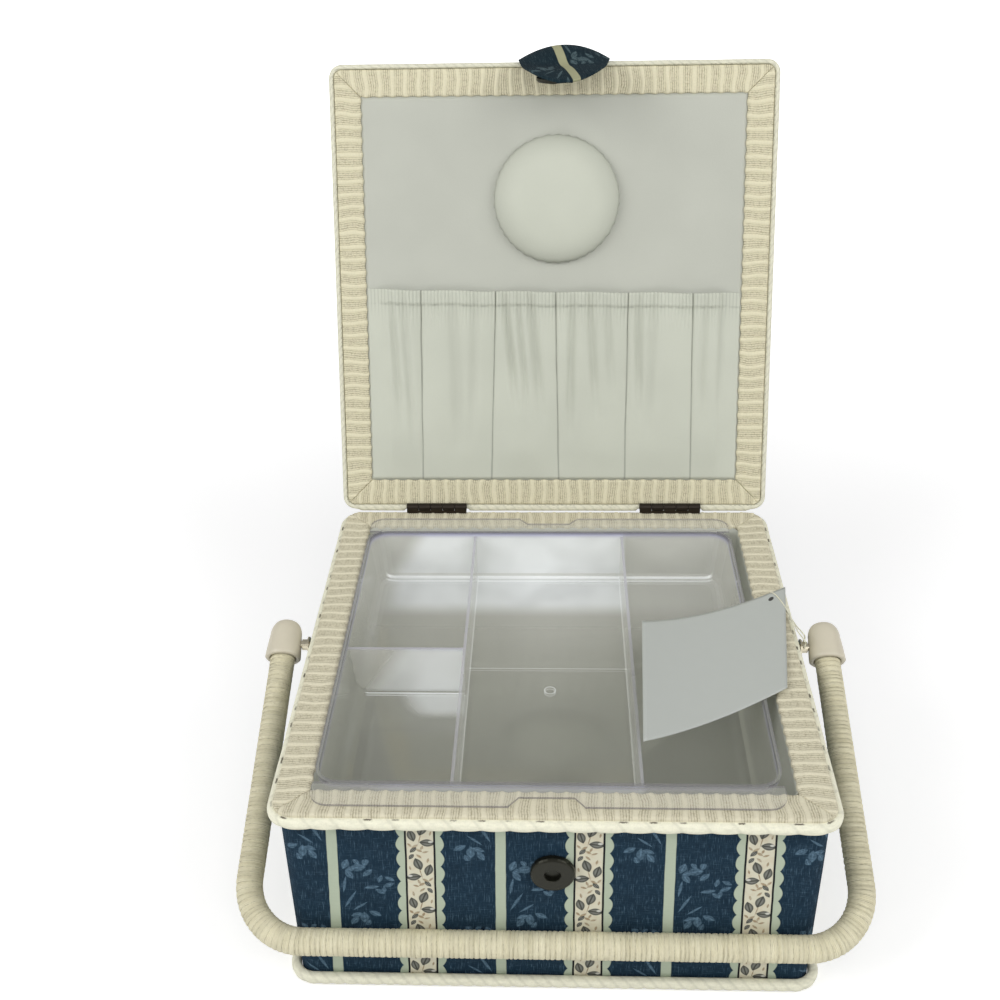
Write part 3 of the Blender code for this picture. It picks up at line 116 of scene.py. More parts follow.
# Seams and folds of the pockets: the place across at the top and at the foot, and for a fold also its depth,
# its width and the share of the height where it starts
POCKET_SEAMS = ((-81.2, -82.4), (-35.1, -38.8), (1.5, 3.7), (46.1, 45.2), (85.5, 86.4))
POCKET_FOLDS = ((-100, -93, 0.9, 5, 0.25), (-93, -86, 0.7, 5, 0.15), (-62, -58, 0.8, 8, 0.1),
                (-47, -52, 0.6, 6, 0.2), (-30, -18, 1.3, 5, 0.35), (-22, -12, 0.9, 4, 0.3),
                (-14, -3, 1.3, 6, 0.3), (12, 10, 1.1, 5, 0.2), (22, 30, 1.0, 5, 0.3),
                (33, 40, 0.8, 5, 0.4), (52, 55, 1.1, 5, 0.3), (62, 58, 0.7, 6, 0.2),
                (93, 90, 0.7, 5, 0.3), (104, 102, 0.8, 5, 0.3))

# The outline of a woven band: the share of the way across it, and the share of its height
BAND_OUTLINE = ((0, 0), (0, 0.55), (0.02, 0.8), (0.06, 0.93), (0.12, 1), (0.22, 1), (0.34, 1), (0.46, 1),
                (0.58, 1), (0.70, 1), (0.82, 1), (0.90, 1), (0.95, 0.93), (0.985, 0.8), (1, 0.55), (1, 0),
                (0.5, 0))

# The camera, fitted to the photograph: place, lens and angles in radians; and the lamps: place, power, width
CAMERA_PLACE, CAMERA_LENS = (0.000077, -0.549425, 0.543165), 45.342
CAMERA_PITCH, CAMERA_YAW, CAMERA_ROLL = 0.548247, -0.049222, 0.025193
LAMPS = {"left_lamp": ((-1.3, -0.7, 1.2), 13.5, 1.0), "right_lamp": ((1.3, -0.7, 1.2), 11.5, 1.0),
         "front_lamp": ((0.1, -1.5, 1.5), 8.0, 1.2)}
LAMP_AIM, SKY_STRENGTH, FLOOR_HALF, FLOOR_Z = (0, 0.05, 0.15), 0.43, 6.0, -0.0004


def shade(red, green, blue):
    """A colour as a screen shows it, 0 to 255, as linear light."""
    parts = [c / 255 for c in (red, green, blue)]
    return tuple(c / 12.92 if c <= 0.04045 else ((c + 0.055) / 1.055) ** 2.4 for c in parts)


def dimmed(tint, *shares):
    """A colour times one share, or times a share for each of its channels."""
    return [c * share for c, share in zip(tint, shares * 3)]


def length(name, description, default):
    """A property in metres."""
    return bpy.props.FloatProperty(name=name, description=description, default=default, min=0,
                                   precision=5, unit="LENGTH")


def colour(name, description, default):
    """A colour property, its default as a screen shows it."""
    return bpy.props.FloatVectorProperty(name=name, description=description, size=3, min=0, max=1,
                                         default=shade(*default), subtype="COLOR")


class BasketSizes(bpy.types.PropertyGroup):
    """Sizes that change the look of the basket's cloth and cords."""
    weave_pitch: length("Weave pitch", "From one wide cord of the woven band to the next", 0.0078)
    wind_pitch: length("Winding pitch", "From one turn of the handle's cord to the next", 0.0026)
    wind_depth: length("Winding depth", "How deep the grooves between the turns are", 0.00055)
    braid_pitch: length("Braid pitch", "From one lobe of the box's braid to the next", 0.0132)
    cushion_radius: length("Pincushion radius", "Radius of the pincushion", 0.0385)
    cushion_height: length("Pincushion height", "Height of the pincushion", 0.0126)
    pocket_puff: length("Pocket puff", "How far the pocket cloth stands off the lining", 0.0040)
    card_lift: length("Card lift", "How far the card's free edge curls up", 0.0162)


class BasketColours(bpy.types.PropertyGroup):
    """Colours of the basket's finishes."""
    ground: colour("Print ground", "Dark ground of the printed cloth", (17, 44, 62))
    sprig: colour("Print sprigs", "Faint flowers on the printed cloth", (96, 124, 144))
    stripe: colour("Print stripe", "Pale stripe of the printed cloth", (184, 195, 174))
    strip: colour("Print strip", "Light strip with leaves on it", (217, 213, 192))
    rim: colour("Rim band", "Cords of the woven band on the rim", (212, 206, 182))
    band: colour("Lid band", "Cords of the woven band inside the lid", (216, 210, 182))
    cord: colour("Braid and winding", "Braids and the handle's winding", (237, 235, 213))
    lining: colour("Lining", "Satin of the linings", (187, 189, 178))
    cushion: colour("Pincushion cloth", "Cloth of the pincushion and pockets", (198, 201, 187))
    cap: colour("Handle caps", "Moulded caps of the handle", (202, 195, 175))
    snap: colour("Snap", "Metal of the snap", (42, 42, 34))
    card: colour("Card", "Blank card tag", (181, 185, 180))


# Arithmetic on a material's nodes
class Wire:
    """An output of a node. Sums and products of wires add Math nodes to its material."""

    def __init__(self, socket):
        self.socket, self.tree = socket, socket.id_data

    def math(self, operation, *others):
        node = self.tree.nodes.new("ShaderNodeMath")
        node.operation = operation
        for slot, value in zip(node.inputs, (self, *others)):
            plug(slot, value)
        return Wire(node.outputs[0])

    def __add__(self, other):
        return self.math("ADD", other)

    def __sub__(self, other):
        return self.math("SUBTRACT", other)

    def __mul__(self, other):
        return self.math("MULTIPLY", other)

    def __truediv__(self, other):
        return self.math("DIVIDE", other)

    def __abs__(self):
        return self.math("ABSOLUTE")

    def near(self, period):
        """The signed distance to the nearest whole number of periods."""
        return self.math("WRAP", period / 2, -period / 2)

    def smooth(self, low, high):
        """Rises smoothly from 0 at low to 1 at high; falls where low is the greater."""
        node = self.tree.nodes.new("ShaderNodeMapRange")
        node.interpolation_type = "SMOOTHSTEP"
        for slot, value in zip(node.inputs, (self, low, high)):
            plug(slot, value)
        return Wire(node.outputs[0])

    def mix(self, low, high):
        """The colour low where this is 0 and high where it is 1."""
        node = self.tree.nodes.new("ShaderNodeMix")
        node.data_type = "RGBA"
        plug(node.inputs[0], self)
        plug(node.inputs[6], low)
        plug(node.inputs[7], high)
        return Wire(node.outputs[2])


def plug(slot, value):
    """Link a wire to a socket, or set the socket to a number or colour."""
    if isinstance(value, Wire):
        slot.id_data.links.new(value.socket, slot)
    elif isinstance(value, (int, float)):
        slot.default_value = value
    else:
        slot.default_value = tuple(value) + (1,) * (len(slot.default_value) - len(value))


def noise(tree, place, scale, detail=2.0, roughness=0.5):
    """Blender's fractal noise at a place, from 0 to 1 about a half."""
    node = tree.nodes.new("ShaderNodeTexNoise")
    plug(node.inputs["Vector"], place)
    node.inputs["Scale"].default_value = scale
    node.inputs["Detail"].default_value = detail
    node.inputs["Roughness"].default_value = roughness
    return Wire(node.outputs[0])


def vector(tree, x, y, z=0.0):
    """A vector from its three coordinates."""
    node = tree.nodes.new("ShaderNodeCombineXYZ")
    for slot, value in zip(node.inputs, (x, y, z)):
        plug(slot, value)
    return Wire(node.outputs[0])


def cloud(u, v, rate_u, rate_v, layer=0.0, detail=2.0, roughness=0.5):
    """Noise over a piece laid flat, with its own rate along each way. Layers differ from each other."""
    return noise(u.tree, vector(u.tree, u * rate_u, v * rate_v, layer), 1.0, detail, roughness)


def distance(x, y):
    """The length of a line with two given parts."""
    return (x * x + y * y).math("SQRT")


def laid_flat(tree):
    """The two coordinates of the piece laid flat, in millimetres, from its own UV map."""
    uv = tree.nodes.new("ShaderNodeUVMap")
    uv.uv_map = "flat"
    parts = tree.nodes.new("ShaderNodeSeparateXYZ")
    tree.links.new(uv.outputs[0], parts.inputs[0])
    return Wire(parts.outputs[0]), Wire(parts.outputs[1])


def object_place(tree):
    """The place on the piece, in metres of its own object."""
    return Wire(tree.nodes.new("ShaderNodeTexCoord").outputs["Object"])


def new_finish(name, **sockets):
    """A material with one Principled shader, its sockets set by name."""
    finish = bpy.data.materials.new(name)
    finish.use_nodes = True
    shader = finish.node_tree.nodes["Principled BSDF"]
    for socket, value in sockets.items():
        plug(shader.inputs[socket.replace("_", " ")], value)
    return finish, finish.node_tree, shader


def relief(tree, shader, height, distance, strength=1.0):
    """Bumps on a shader's surface: a height from 0 to 1 stands for a distance in metres."""
    node = tree.nodes.new("ShaderNodeBump")
    node.inputs["Strength"].default_value = strength
    node.inputs["Distance"].default_value = distance
    plug(node.inputs["Height"], height)
    tree.links.new(node.outputs[0], shader.inputs["Normal"])


def once(make):
    """Make a finish the first time that it is asked for, and give the same one after that."""
    made = {}

    def give(*values):
        if not made:
            made[0] = make(*values)
        return made[0]
    return give


# Motifs, each a place, a turn in degrees, and half its length and width, in millimetres
STRIP_LEAVES = ((-3.9, 0.9, 104, 4.3, 2.3), (1.1, 4.9, 72, 4.5, 2.5), (3.4, -3.9, -8, 4.0, 2.7),
                (-3.3, -8.6, 50, 2.5, 1.3), (4.2, 10.0, 120, 2.4, 1.2))
STRIP_CURLS = ((-2.4, -6.2, 38, 2.4, 1.1), (-0.5, -8.9, -35, 2.2, 1.1), (0.8, -7.2, 70, 1.9, 0.9),
               (-4.9, -5.4, -52, 1.9, 0.9), (0.0, -0.6, 78, 5.2, 0.4), (2.4, -10.0, 20, 2.0, 0.9),
               (0.6, 10.2, 48, 2.2, 0.9), (-3.6, 7.4, 100, 2.0, 0.8), (4.9, 2.2, 80, 1.8, 0.7))
GROUND_SPRIG = ((10, 15, 10, 3.8, 2.6), (14, 12, 48, 3.2, 1.7), (6.5, 11, -60, 3.4, 1.8),
                (5, 17, 70, 3.4, 1.9), (4.4, 5, 82, 5.5, 0.8), (6.5, -4, 64, 6.5, 0.8),
                (10.5, -8, 40, 4.6, 0.7), (12, -15, 92, 3.8, 2.2), (16.5, -12.5, 150, 3.2, 1.8),
                (8, -17, 60, 3.2, 1.8), (22.5, 5, 30, 3.0, 1.5), (19, 1, -40, 2.6, 1.3),
                (15.5, 3.5, 10, 3.6, 1.3), (19, 8.5, 75, 2.6, 1.2), (13.2, 18.4, 78, 3.0, 1.7),
                (7.0, 14.0, 20, 2.6, 1.6), (9.4, 18.6, 120, 2.6, 1.3), (9.0, -13.4, 20, 3.0, 1.7),
                (13.6, -18.6, 70, 2.8, 1.4), (20.5, 1.8, 84, 2.4, 1.2), (23.0, 8.6, -30, 2.6, 1.3))


def leaf(x, y, motif):
    """How far a point is inside a leaf: one less the square along it and the distance across it."""
    centre_x, centre_y, turn, half_long, half_wide = motif
    cos, sin = math.cos(math.radians(turn)), math.sin(math.radians(turn))
    dx, dy = x - centre_x, y - centre_y
    along = (dx * cos + dy * sin) / half_long
    across = abs((dy * cos - dx * sin) / half_wide)
    return (along * along + across) * -1 + 1, across


def leaves(x, y, motifs, soft):
    """The union of several leaves, and a light core in each."""
    whole = core = None
    for motif in motifs:
        inside, across = leaf(x, y, motif)
        shown, light = inside.smooth(0.0, soft), inside.smooth(0.1, 0.8) * across.smooth(0.05, 0.3)
        whole = shown if whole is None else whole.math("MAXIMUM", shown)
        core = light if core is None else core.math("MAXIMUM", light)
    return whole, core


def mirrored_cell(x, y, tall):
    """Fold a column of cells onto one, every second one mirrored: x and y within a cell."""
    cell = (y / tall).math("FLOOR")
    side = (cell / 2).math("FRACT") * -4 + 1
    return x * side, (y / tall - cell - 0.5) * tall


def threads(u, v):
    """Light slubs along each way of a weave: noise drawn out along the thread."""
    up = cloud(u, v, 2.2, 0.14, 0.0, 3.0, 0.7)
    across = cloud(u, v, 0.14, 2.2, 7.0, 3.0, 0.7)
    return up, across


def printed_cloth(name, colours, shade_kept):
    """Printed cloth: a dark ground with sprigs, a narrow pale stripe and a scalloped strip of leaves. Shade
    kept is
    the share of each colour that is left: below one it dims the whole print as painted shade."""
    finish, tree, shader = new_finish(name, Roughness=0.9, Specular_IOR_Level=0.2)
    # Every colour dimmed by the share kept: painted shade where the share is below one
    dark, faint, stripe = ([c * f for c, f in zip(tint, shade_kept)]
                           for tint in (colours.ground, colours.sprig, colours.stripe))
    u, v = laid_flat(tree)
    wave = cloud(u, v, 0.09, 0.09, 3.0, 1.0) - 0.5
    u = u + wave * 0.5
    from_stripe = (u - STRIPE_PLACE).near(STRIPE_PITCH)
    from_strip = (u - STRIP_PLACE).near(STRIPE_PITCH)
    up, across = threads(u, v)
    patch = cloud(u, v, 0.06, 0.06, 1.0)
    ground = (up.smooth(0.48, 0.26) * 0.6 + patch.smooth(0.35, 0.7) * 0.2).mix(dark, dimmed(dark, 0.42))
    ground = (up.smooth(0.52, 0.72) * 0.52 + across.smooth(0.54, 0.74) * 0.4).mix(ground, faint)
    x, y = mirrored_cell(from_stripe, v + 6.0, 46.0)
    sprig, core = leaves(x * -0.86, y * 0.86, GROUND_SPRIG, 0.5)
    wear_and_shade_patches = cloud(u, v, 0.55, 0.55, 5.0, 3.0, 0.7).smooth(0.34, 0.60)
    ground = (sprig * (core * -0.5 + 1) * (wear_and_shade_patches * 0.6 + 0.4)).mix(ground, faint)
    lobe = ((v + wave * 3) * (math.pi / 10.2)).math("SINE")
    half = abs(lobe).math("POWER", 0.8) * 1.9 + 9.4
    pale = (across.smooth(0.3, 0.75) * 0.35).mix(stripe, dimmed(stripe, 0.86))
    cloth = (abs(from_strip) - half).smooth(0.22, -0.22).mix(ground, pale)
    cloth = abs(from_stripe).smooth(2.65, 2.25).mix(cloth, pale)
    blush = cloud(u, v, 0.3, 0.3, 9.0).smooth(0.45, 0.7)
    strip = (blush * 0.25).mix(colours.strip, shade(206, 184, 150))
    x, y = mirrored_cell(from_strip, v + 2.0, 23.0)
    curl, _ = leaves(x, y, STRIP_CURLS, 0.6)
    strip = (curl * (wear_and_shade_patches * 0.4 + 0.5)).mix(strip, shade(150, 128, 96))
    shown, core = leaves(x, y, STRIP_LEAVES, 0.22)
    tone = (core * 0.8).mix(shade(50, 54, 52), shade(138, 140, 134))
    strip = (shown * 0.94).mix(strip, tone)
    spot, _ = leaf(x, y, (5.0, -3.2, 0, 1.5, 1.1))
    strip = spot.smooth(0.1, 0.5).mix(strip, shade(206, 206, 198))
    cloth = abs(from_strip).smooth(6.85, 6.5).mix(cloth, strip)
    cloth = abs(abs(from_strip) - 6.8).smooth(0.62, 0.36).mix(cloth, shade(22, 24, 28))
    plug(shader.inputs["Base Color"], cloth)
    weave = (u * 9.0).math("SINE") * (v * 9.0).math("SINE")
    relief(tree, shader, weave * 0.4 + up + across * 0.7, 0.0003, 0.6)
    return finish


@once
def print_finish(colours):
    """The box's and the lid's print."""
    return printed_cloth("printed_cotton", colours, (1.0, 1.0, 1.0))


def band_finish(name, tint, sizes):
    """Woven band: a wide cord and four fine ones across it, tied down by threads along it, with painted shade
    in the grooves between the cords and where the threads dip under them.
    """
    finish, tree, shader = new_finish(name, Roughness=0.72, Specular_IOR_Level=0.3)
    u, v = laid_flat(tree)
    sway = cloud(u, v, 0.16, 0.42, 4.0) - 0.5
    u = u + sway * 0.8
    place = abs(u.near(sizes.weave_pitch * MM))
    wide = place.smooth(1.6, 1.15)
    between = abs((place - WIDE_CORD).near(FINE_CORD))
    groove_shade = between.smooth(0.4, 0.08) * (wide * -1 + 1)
    uneven = cloud(u, v, 0.5, 0.5, 2.0).smooth(0.38, 0.62)
    thread_line_shade = abs(v.near(1.75)).smooth(0.32, 0.1)
    row = (place / FINE_CORD).math("FLOOR")
    thread_dash_shade = abs((v + row * 0.875).near(1.75)).smooth(0.46, 0.14) * (wide * -1 + 1)
    fibre = cloud(u, v, 3.2, 0.35, 0.0, 2.0, 0.6)
    pale = [min(1, c * 1.05) for c in tint]
    cloth = wide.mix(tint, pale)
    cloth = (fibre.smooth(0.35, 0.75) * 0.22).mix(cloth, dimmed(tint, 0.74))
    # Painted shade: this dark tint goes where the threads dip and into the grooves between the cords,
    # unevenly
    dark = shade(138, 128, 98)
    cloth = (thread_line_shade * 0.04 + thread_dash_shade * uneven * 0.2).mix(cloth, dark)
    cloth = (groove_shade * (uneven * 0.34 + 0.3)).mix(cloth, dark)
    plug(shader.inputs["Base Color"], cloth)
    relief(tree, shader, fibre * 0.4 - thread_line_shade * 0.3 - thread_dash_shade * uneven * 0.6 - groove_shade, 0.0003, 0.5)
    return finish


def paper_cord(name, tint, pitch, half_long, place, half_tall, depth, twist):
    """Paper cord: pale, with fine strands along it, painted shade in the slanting creases between its lobes,
    and a row of stitch holes painted dark as shade, some deeper and darker than others."""
    finish, tree, shader = new_finish(name, Roughness=0.72, Specular_IOR_Level=0.3)
    u, v = laid_flat(tree)
    strand = cloud(u, v, 0.22, 0.5, 0.0, 3.0, 0.65)
    hair = cloud(u, v, 1.4, 0.8, 6.0)
    cloth = (strand.smooth(0.36, 0.7) * 0.8).mix(tint, dimmed(tint, 0.86))
    cloth = (hair.smooth(0.45, 0.75) * 0.25).mix(cloth, dimmed(tint, 0.74))
    drift = (noise(tree, vector(tree, u * 0.03, 1.0), 1.0, 1.0) - 0.5) * 12
    # Painted shade in the slanting creases between the lobes
    crease = abs((u + v * 0.7 + hair).near(twist)).smooth(1.5, 0.2) * 0.3
    cloth = crease.mix(cloth, dimmed(tint, 0.62))
    # Painted shade: the stitch holes are dark, and the depth says how dark the deeper ones get
    hole = abs((u + drift).near(pitch)).smooth(half_long, half_long * 0.4)
    hole = hole * abs(v - place + hair - 0.5).smooth(half_tall, half_tall * 0.4)
    deep = noise(tree, vector(tree, u * 0.04, 5.0), 1.0, 1.0).smooth(0.44, 0.54) * depth
    cloth = (hole * deep).mix(cloth, shade(74, 66, 50))
    plug(shader.inputs["Base Color"], cloth)
    relief(tree, shader, strand + hair - hole * deep - crease * 3, 0.0003, 0.6)
    return finish


@once
def cord_finish(colours):
    """The foot braid's and the card loop's cord."""
    return paper_cord("paper_cord", dimmed(colours.cord, 0.92), 9.0, 1.0, 8.8, 0.5, 0.3, 6.6)


def winding_finish(colours):
    """The handle's winding: one tone for each turn, with fine fibres, and painted shade in patches where two
    turns touch and between the strands of a turn.
    """
    finish, tree, shader = new_finish("wound_cord", Roughness=0.75, Specular_IOR_Level=0.3)
    turn, across = laid_flat(tree)
    tone = noise(tree, vector(tree, (turn * 4).math("FLOOR") * 7.3, across * 0.05), 1.0, 1.0)
    patch = cloud(turn, across, 0.08, 0.08, 2.0)
    turn_join_shade = abs(turn.near(1.0)).smooth(0.12, 0.02)
    strand = abs(turn.near(0.25)).smooth(0.07, 0.01)
    fibre = cloud(turn, across, 9.0, 0.6, 0.0, 3.0, 0.7)
    wear_and_shade_patches = cloud(turn, across, 1.1, 0.3, 5.0).smooth(0.4, 0.62)
    tint = dimmed(colours.cord, 1.0, 0.96, 0.88)
    cloth = (tone.smooth(0.35, 0.7) * 0.45 + fibre.smooth(0.4, 0.7) * 0.3).mix(
        tint, dimmed(tint, 0.82, 0.80, 0.72))
    cloth = (patch.smooth(0.4, 0.7) * 0.25).mix(cloth, dimmed(tint, 0.86, 0.84, 0.78))
    # Painted shade in the grooves between turns and between strands, shown in patches
    cloth = ((turn_join_shade * 0.3 + strand * 0.2) * wear_and_shade_patches * fibre.smooth(0.3, 0.6)).mix(cloth, shade(132, 122, 94))
    plug(shader.inputs["Base Color"], cloth)
    relief(tree, shader, fibre * 1.6 + tone - turn_join_shade - strand * 0.7, 0.0004, 0.8)
    return finish


def soft_cloth(name, tint, rough, gloss, thread, shade_mask=None):
    """Plain cloth in one tint: a fine weave with faint slubs and slow clouding, with painted shade where its
    shade mask is.
    """
    finish, tree, shader = new_finish(name, Roughness=rough, Specular_IOR_Level=gloss)
    place = object_place(tree)
    patch = noise(tree, place, 22.0, 2.0)
    fine = noise(tree, place, 900.0 / thread, 2.0, 0.6)
    cloth = (patch.smooth(0.3, 0.7) * 0.5 + fine * 0.22).mix(tint, dimmed(tint, 0.9))
    if shade_mask:
        # Painted shade where the mask gives it
        cloth = shade_mask(tree).mix(cloth, dimmed(tint, 0.30))
    plug(shader.inputs["Base Color"], cloth)
    relief(tree, shader, fine, 0.00015, 0.4)
    return finish


@once
def lining_finish(colours):
    """The satin of the box's and the lid's linings."""
    return soft_cloth("satin_lining", colours.lining, 0.5, 0.4, 1.0)


def pocket_shade(tree):
    """Painted shade for the pockets: dark lines along their slanting seams and in the valleys of their folds,
    along the seam under the hem, and between fine gathers that fade below it.
    """
    u, v = laid_flat(tree)
    share = (v - POCKET_FOOT) / POCKET_TALL
    drift = cloud(u, v, 0.2, 0.03)
    # Painted shade along the hem's seam, then along the seams and in the folds' valleys
    mark = abs(share - POCKET_HEM_SHARE).smooth(0.009, 0.001) * (drift.smooth(0.35, 0.75) * 0.35)
    for top, foot in POCKET_SEAMS:
        line = abs(u - share * (top - foot) - foot + (drift - 0.5) * 1.4)
        mark = mark.math("MAXIMUM", line.smooth(0.9, 0.1) * 0.55)
    for top, foot, deep, wide, fade in POCKET_FOLDS:
        shown = share.smooth(fade, fade + 0.4) * share.smooth(1.1, 0.85) * (0.13 * deep)
        line = abs(u - share * (top - foot) - foot + (drift - 0.5) * 4)
        mark = mark.math("MAXIMUM", line.smooth(wide * 0.7, 0.0) * shown)
    gather = abs(u.near(2.2) + (drift - 0.5) * 0.6).smooth(0.6, 0.1) * share.smooth(0.84, 0.95) * 0.2
    return (mark + gather).math("MINIMUM", 1.0)


def cushion_shade(tree):
    """Painted shade: a dark ring in the crease round the pincushion's foot, and a soft shade near it."""
    u, v = laid_flat(tree)
    reach = distance(u, v)
    uneven = cloud(u, v, 0.12, 0.12, 0.0, 1.0)
    # Painted shade round the foot
    return (reach + uneven * 1.2).smooth(36.9, 38.6) * 0.3 + reach.smooth(22, 38) * 0.15


def worked_surface(name, tint, scale, change, bump_height, **sockets):
    """A hard or raw surface in one tint, mottled and slightly uneven."""
    finish, tree, shader = new_finish(name, **sockets)
    grain = noise(tree, object_place(tree), scale, 3.0, 0.6)
    plug(shader.inputs["Base Color"], (grain.smooth(0.3, 0.7) * change).mix(tint, dimmed(tint, 0.6)))
    relief(tree, shader, grain, bump_height, 0.5)
    return finish


def card_finish(colours):
    """Smooth card with a punched hole near one corner; the hole isn't cut but painted as a dark disc, the
    shade seen through it.
    """
    finish, tree, shader = new_finish("blank_card", Roughness=0.45)
    u, v = laid_flat(tree)
    grain = noise(tree, object_place(tree), 160.0, 3.0)
    hole = distance(u - CARD_HOLE_U, v - CARD_HOLE_V).smooth(1.9, 1.6)
    cloth = (grain.smooth(0.3, 0.7) * 0.05).mix(colours.card, dimmed(colours.card, 0.8))
    # Painted shade: a dark disc where the hole is
    plug(shader.inputs["Base Color"], hole.mix(cloth, shade(58, 58, 56)))
    relief(tree, shader, grain - hole * 3, 0.00004, 0.5)
    return finish


def clear_finish():
    """Clear moulded plastic: a thin mirror that hides more where it is seen edge on. Its upper edges are
    violet and the dividers' edges frosty. Painted reflections brighten the walls that face the front and a
    band of the floor, a painted white sheen grows towards its back, painted highlights lie along the crease
    round the floor's foot and the dividers' feet, and the floor has a mould line and its gate mark."""
    finish, tree, shader = new_finish("clear_plastic", Roughness=0.07)
    parts = tree.nodes.new("ShaderNodeSeparateXYZ")
    plug(parts.inputs[0], object_place(tree))
    x, y, height = (Wire(parts.outputs[k]) * MM for k in range(3))
    facing = tree.nodes.new("ShaderNodeNewGeometry")
    normal = tree.nodes.new("ShaderNodeSeparateXYZ")
    tree.links.new(facing.outputs["True Normal"], normal.inputs[0])
    steep = abs(Wire(normal.outputs[2]))
    upright, level = steep.smooth(0.6, 0.3), steep.smooth(0.6, 0.9)
    weight = tree.nodes.new("ShaderNodeLayerWeight")
    weight.inputs["Blend"].default_value = 0.3
    slant = Wire(weight.outputs["Facing"])
    rim = height.smooth(114.0, 119.0) * upright * (height.smooth(118.0, 118.3) * -0.6 + 1)
    lip = height.smooth(118.0, 118.3)
    edge = lip * upright
    inside = height.smooth(117.6, 117.2)
    ridge = abs(height - DIVIDER_TOP).smooth(0.4, 0.2) * level
    wall = abs(Wire(normal.outputs[0])).smooth(0.95, 0.99) * inside * abs(x - TRAY_X).smooth(60, 55)
    # Painted highlight: a pale line along the foot of each divider
    foot = abs(abs(x - TRAY_X) - DIVIDER_SPREAD).smooth(1.5, 1.1) * height.smooth(89.0, 87.5)
    gate = abs(distance(x - GATE_X, y - GATE_Y) - GATE_RADIUS).smooth(0.55, 0.2)
    gate = gate * level * height.smooth(92, 88)
    # Painted reflection on the walls that face the front, fading with the lean
    gleam = (Wire(normal.outputs[1]) * -1).smooth(0.75, 0.95) * inside
    lean = (height * -0.6 + x + 70.2).smooth(-90, -74) * x.smooth(46, 41) * 0.85 + 0.15
    glow = gleam * lean
    floor = level * height.smooth(92, 88)
    inner = abs(x - TRAY_X).smooth(103, 100)
    # Painted highlight: a double pale line along the crease at the foot of the back wall
    crease = abs(y - TRAY_CREASE).smooth(0.9, 0.3) + abs(y - TRAY_CREASE + 2.2).smooth(0.7, 0.3) * 0.6
    crease = crease * inner * height.smooth(99, 96) * 0.9
    cross = abs(y - TRAY_CROSS + 2.6).smooth(0.8, 0.3) * (x - TRAY_X).smooth(-45, -46) * inner * floor
    under = y.smooth(TRAY_CROSS - 24, TRAY_CROSS - 15) * y.smooth(TRAY_CROSS - 2, TRAY_CROSS - 4)
    under = under * (x - TRAY_X + y * 0.5).smooth(-92, -74) * (x - TRAY_X).smooth(-45, -46) * floor
    mould = abs(y - TRAY_MOULD).smooth(0.5, 0.2) * abs(x - TRAY_X).smooth(45, 44) * floor
    # Painted reflection on a band of the floor near the back, and on the patch in front of the cross line
    mirrored = y.smooth(62, 78) * y.smooth(106, 98) * floor * lean + under * 0.8
    # Painted white sheen, stronger towards the back
    back_sheen = y.smooth(-100, 112) * inside
    # The painted highlights along the feet and the crease, with the gate ring, the cross line and the mould
    # line
    line = (foot * 0.35 + gate * 0.7 + crease + cross + mould * 0.5).math("MINIMUM", 1.0)
    # The painted light makes the plastic paler, less of a mirror and less clear, and patchy where it is
    # reflection
    pale = (line + ridge + back_sheen * 0.6 + glow + mirrored + lip + 0.45).math("MINIMUM", 1.0)
    tint = (glow + mirrored + line).math("MINIMUM", 1.0).mix(shade(232, 232, 224), shade(244, 247, 247))
    tint = ridge.mix(tint, shade(196, 195, 206))
    tint = (rim * 0.9).mix(tint, shade(134, 132, 182))
    tint = edge.mix(tint, shade(120, 118, 128))
    plug(shader.inputs["Base Color"], tint)
    plug(shader.inputs["Metallic"], (pale + rim + wall).math("MINIMUM", 1.0) * -1 + 1)
    cover = slant * slant * 0.4 + rim * 0.34 + edge * 0.3 + line * 0.6
    cover = cover + ridge * 0.2 + wall * 0.10 + back_sheen * 0.26
    patchy = noise(tree, vector(tree, x * 0.03, y * 0.03, height * 0.03), 1.0, 1.0).smooth(0.3, 0.65)
    cover = cover + (glow * 0.42 + mirrored * 0.32) * (patchy * 0.5 + 0.5) + 0.10
    plug(shader.inputs["Alpha"], cover.math("MINIMUM", 0.92))
    relief(tree, shader, noise(tree, object_place(tree), 60.0, 2.0), 0.00012, 0.25)
    return finish


# Surfaces from arrays
def piece(name, points, faces, flat, finish, sharp=None):
    """A mesh of points and faces, with the flat coordinates of each face's corners in turn. Sharp is the
    angle in degrees past which an edge isn't smoothed."""
    mesh = bpy.data.meshes.new(name)
    mesh.from_pydata(points.reshape(-1, 3).tolist(), [], faces)
    layer = mesh.uv_layers.new(name="flat")
    layer.data.foreach_set("uv", np.concatenate(flat).astype(np.float32).ravel())
    mesh.shade_smooth()
    if sharp:
        mesh.set_sharp_from_angle(angle=math.radians(sharp))
    made = bpy.data.objects.new(name, mesh)
    bpy.context.scene.collection.objects.link(made)
    mesh.materials.append(finish)
    return made


def paired(a, b):
    """Two arrays as pairs of flat coordinates."""
    return np.dstack(np.broadcast_arrays(a, b))


def points_at(x, y, z):
    """Three arrays as points."""
    return np.stack(np.broadcast_arrays(x, y, z), -1)


def grid_faces(rows, columns):
    """The corners of a grid's faces, each as its row and its column."""
    i, j = np.meshgrid(np.arange(rows), np.arange(columns), indexing="ij")
    return [(i, j), (i + 1, j), (i + 1, j + 1), (i, j + 1)]


def inside_out(where, quads):
    """Whether a closed mesh has its faces turned inwards: its volume is less than none."""
    a, b, c, d = (where[quads[:, k]] for k in range(4))
    return np.einsum("ij,ij->", a, np.cross(b, c)) + np.einsum("ij,ij->", a, np.cross(c, d)) < 0


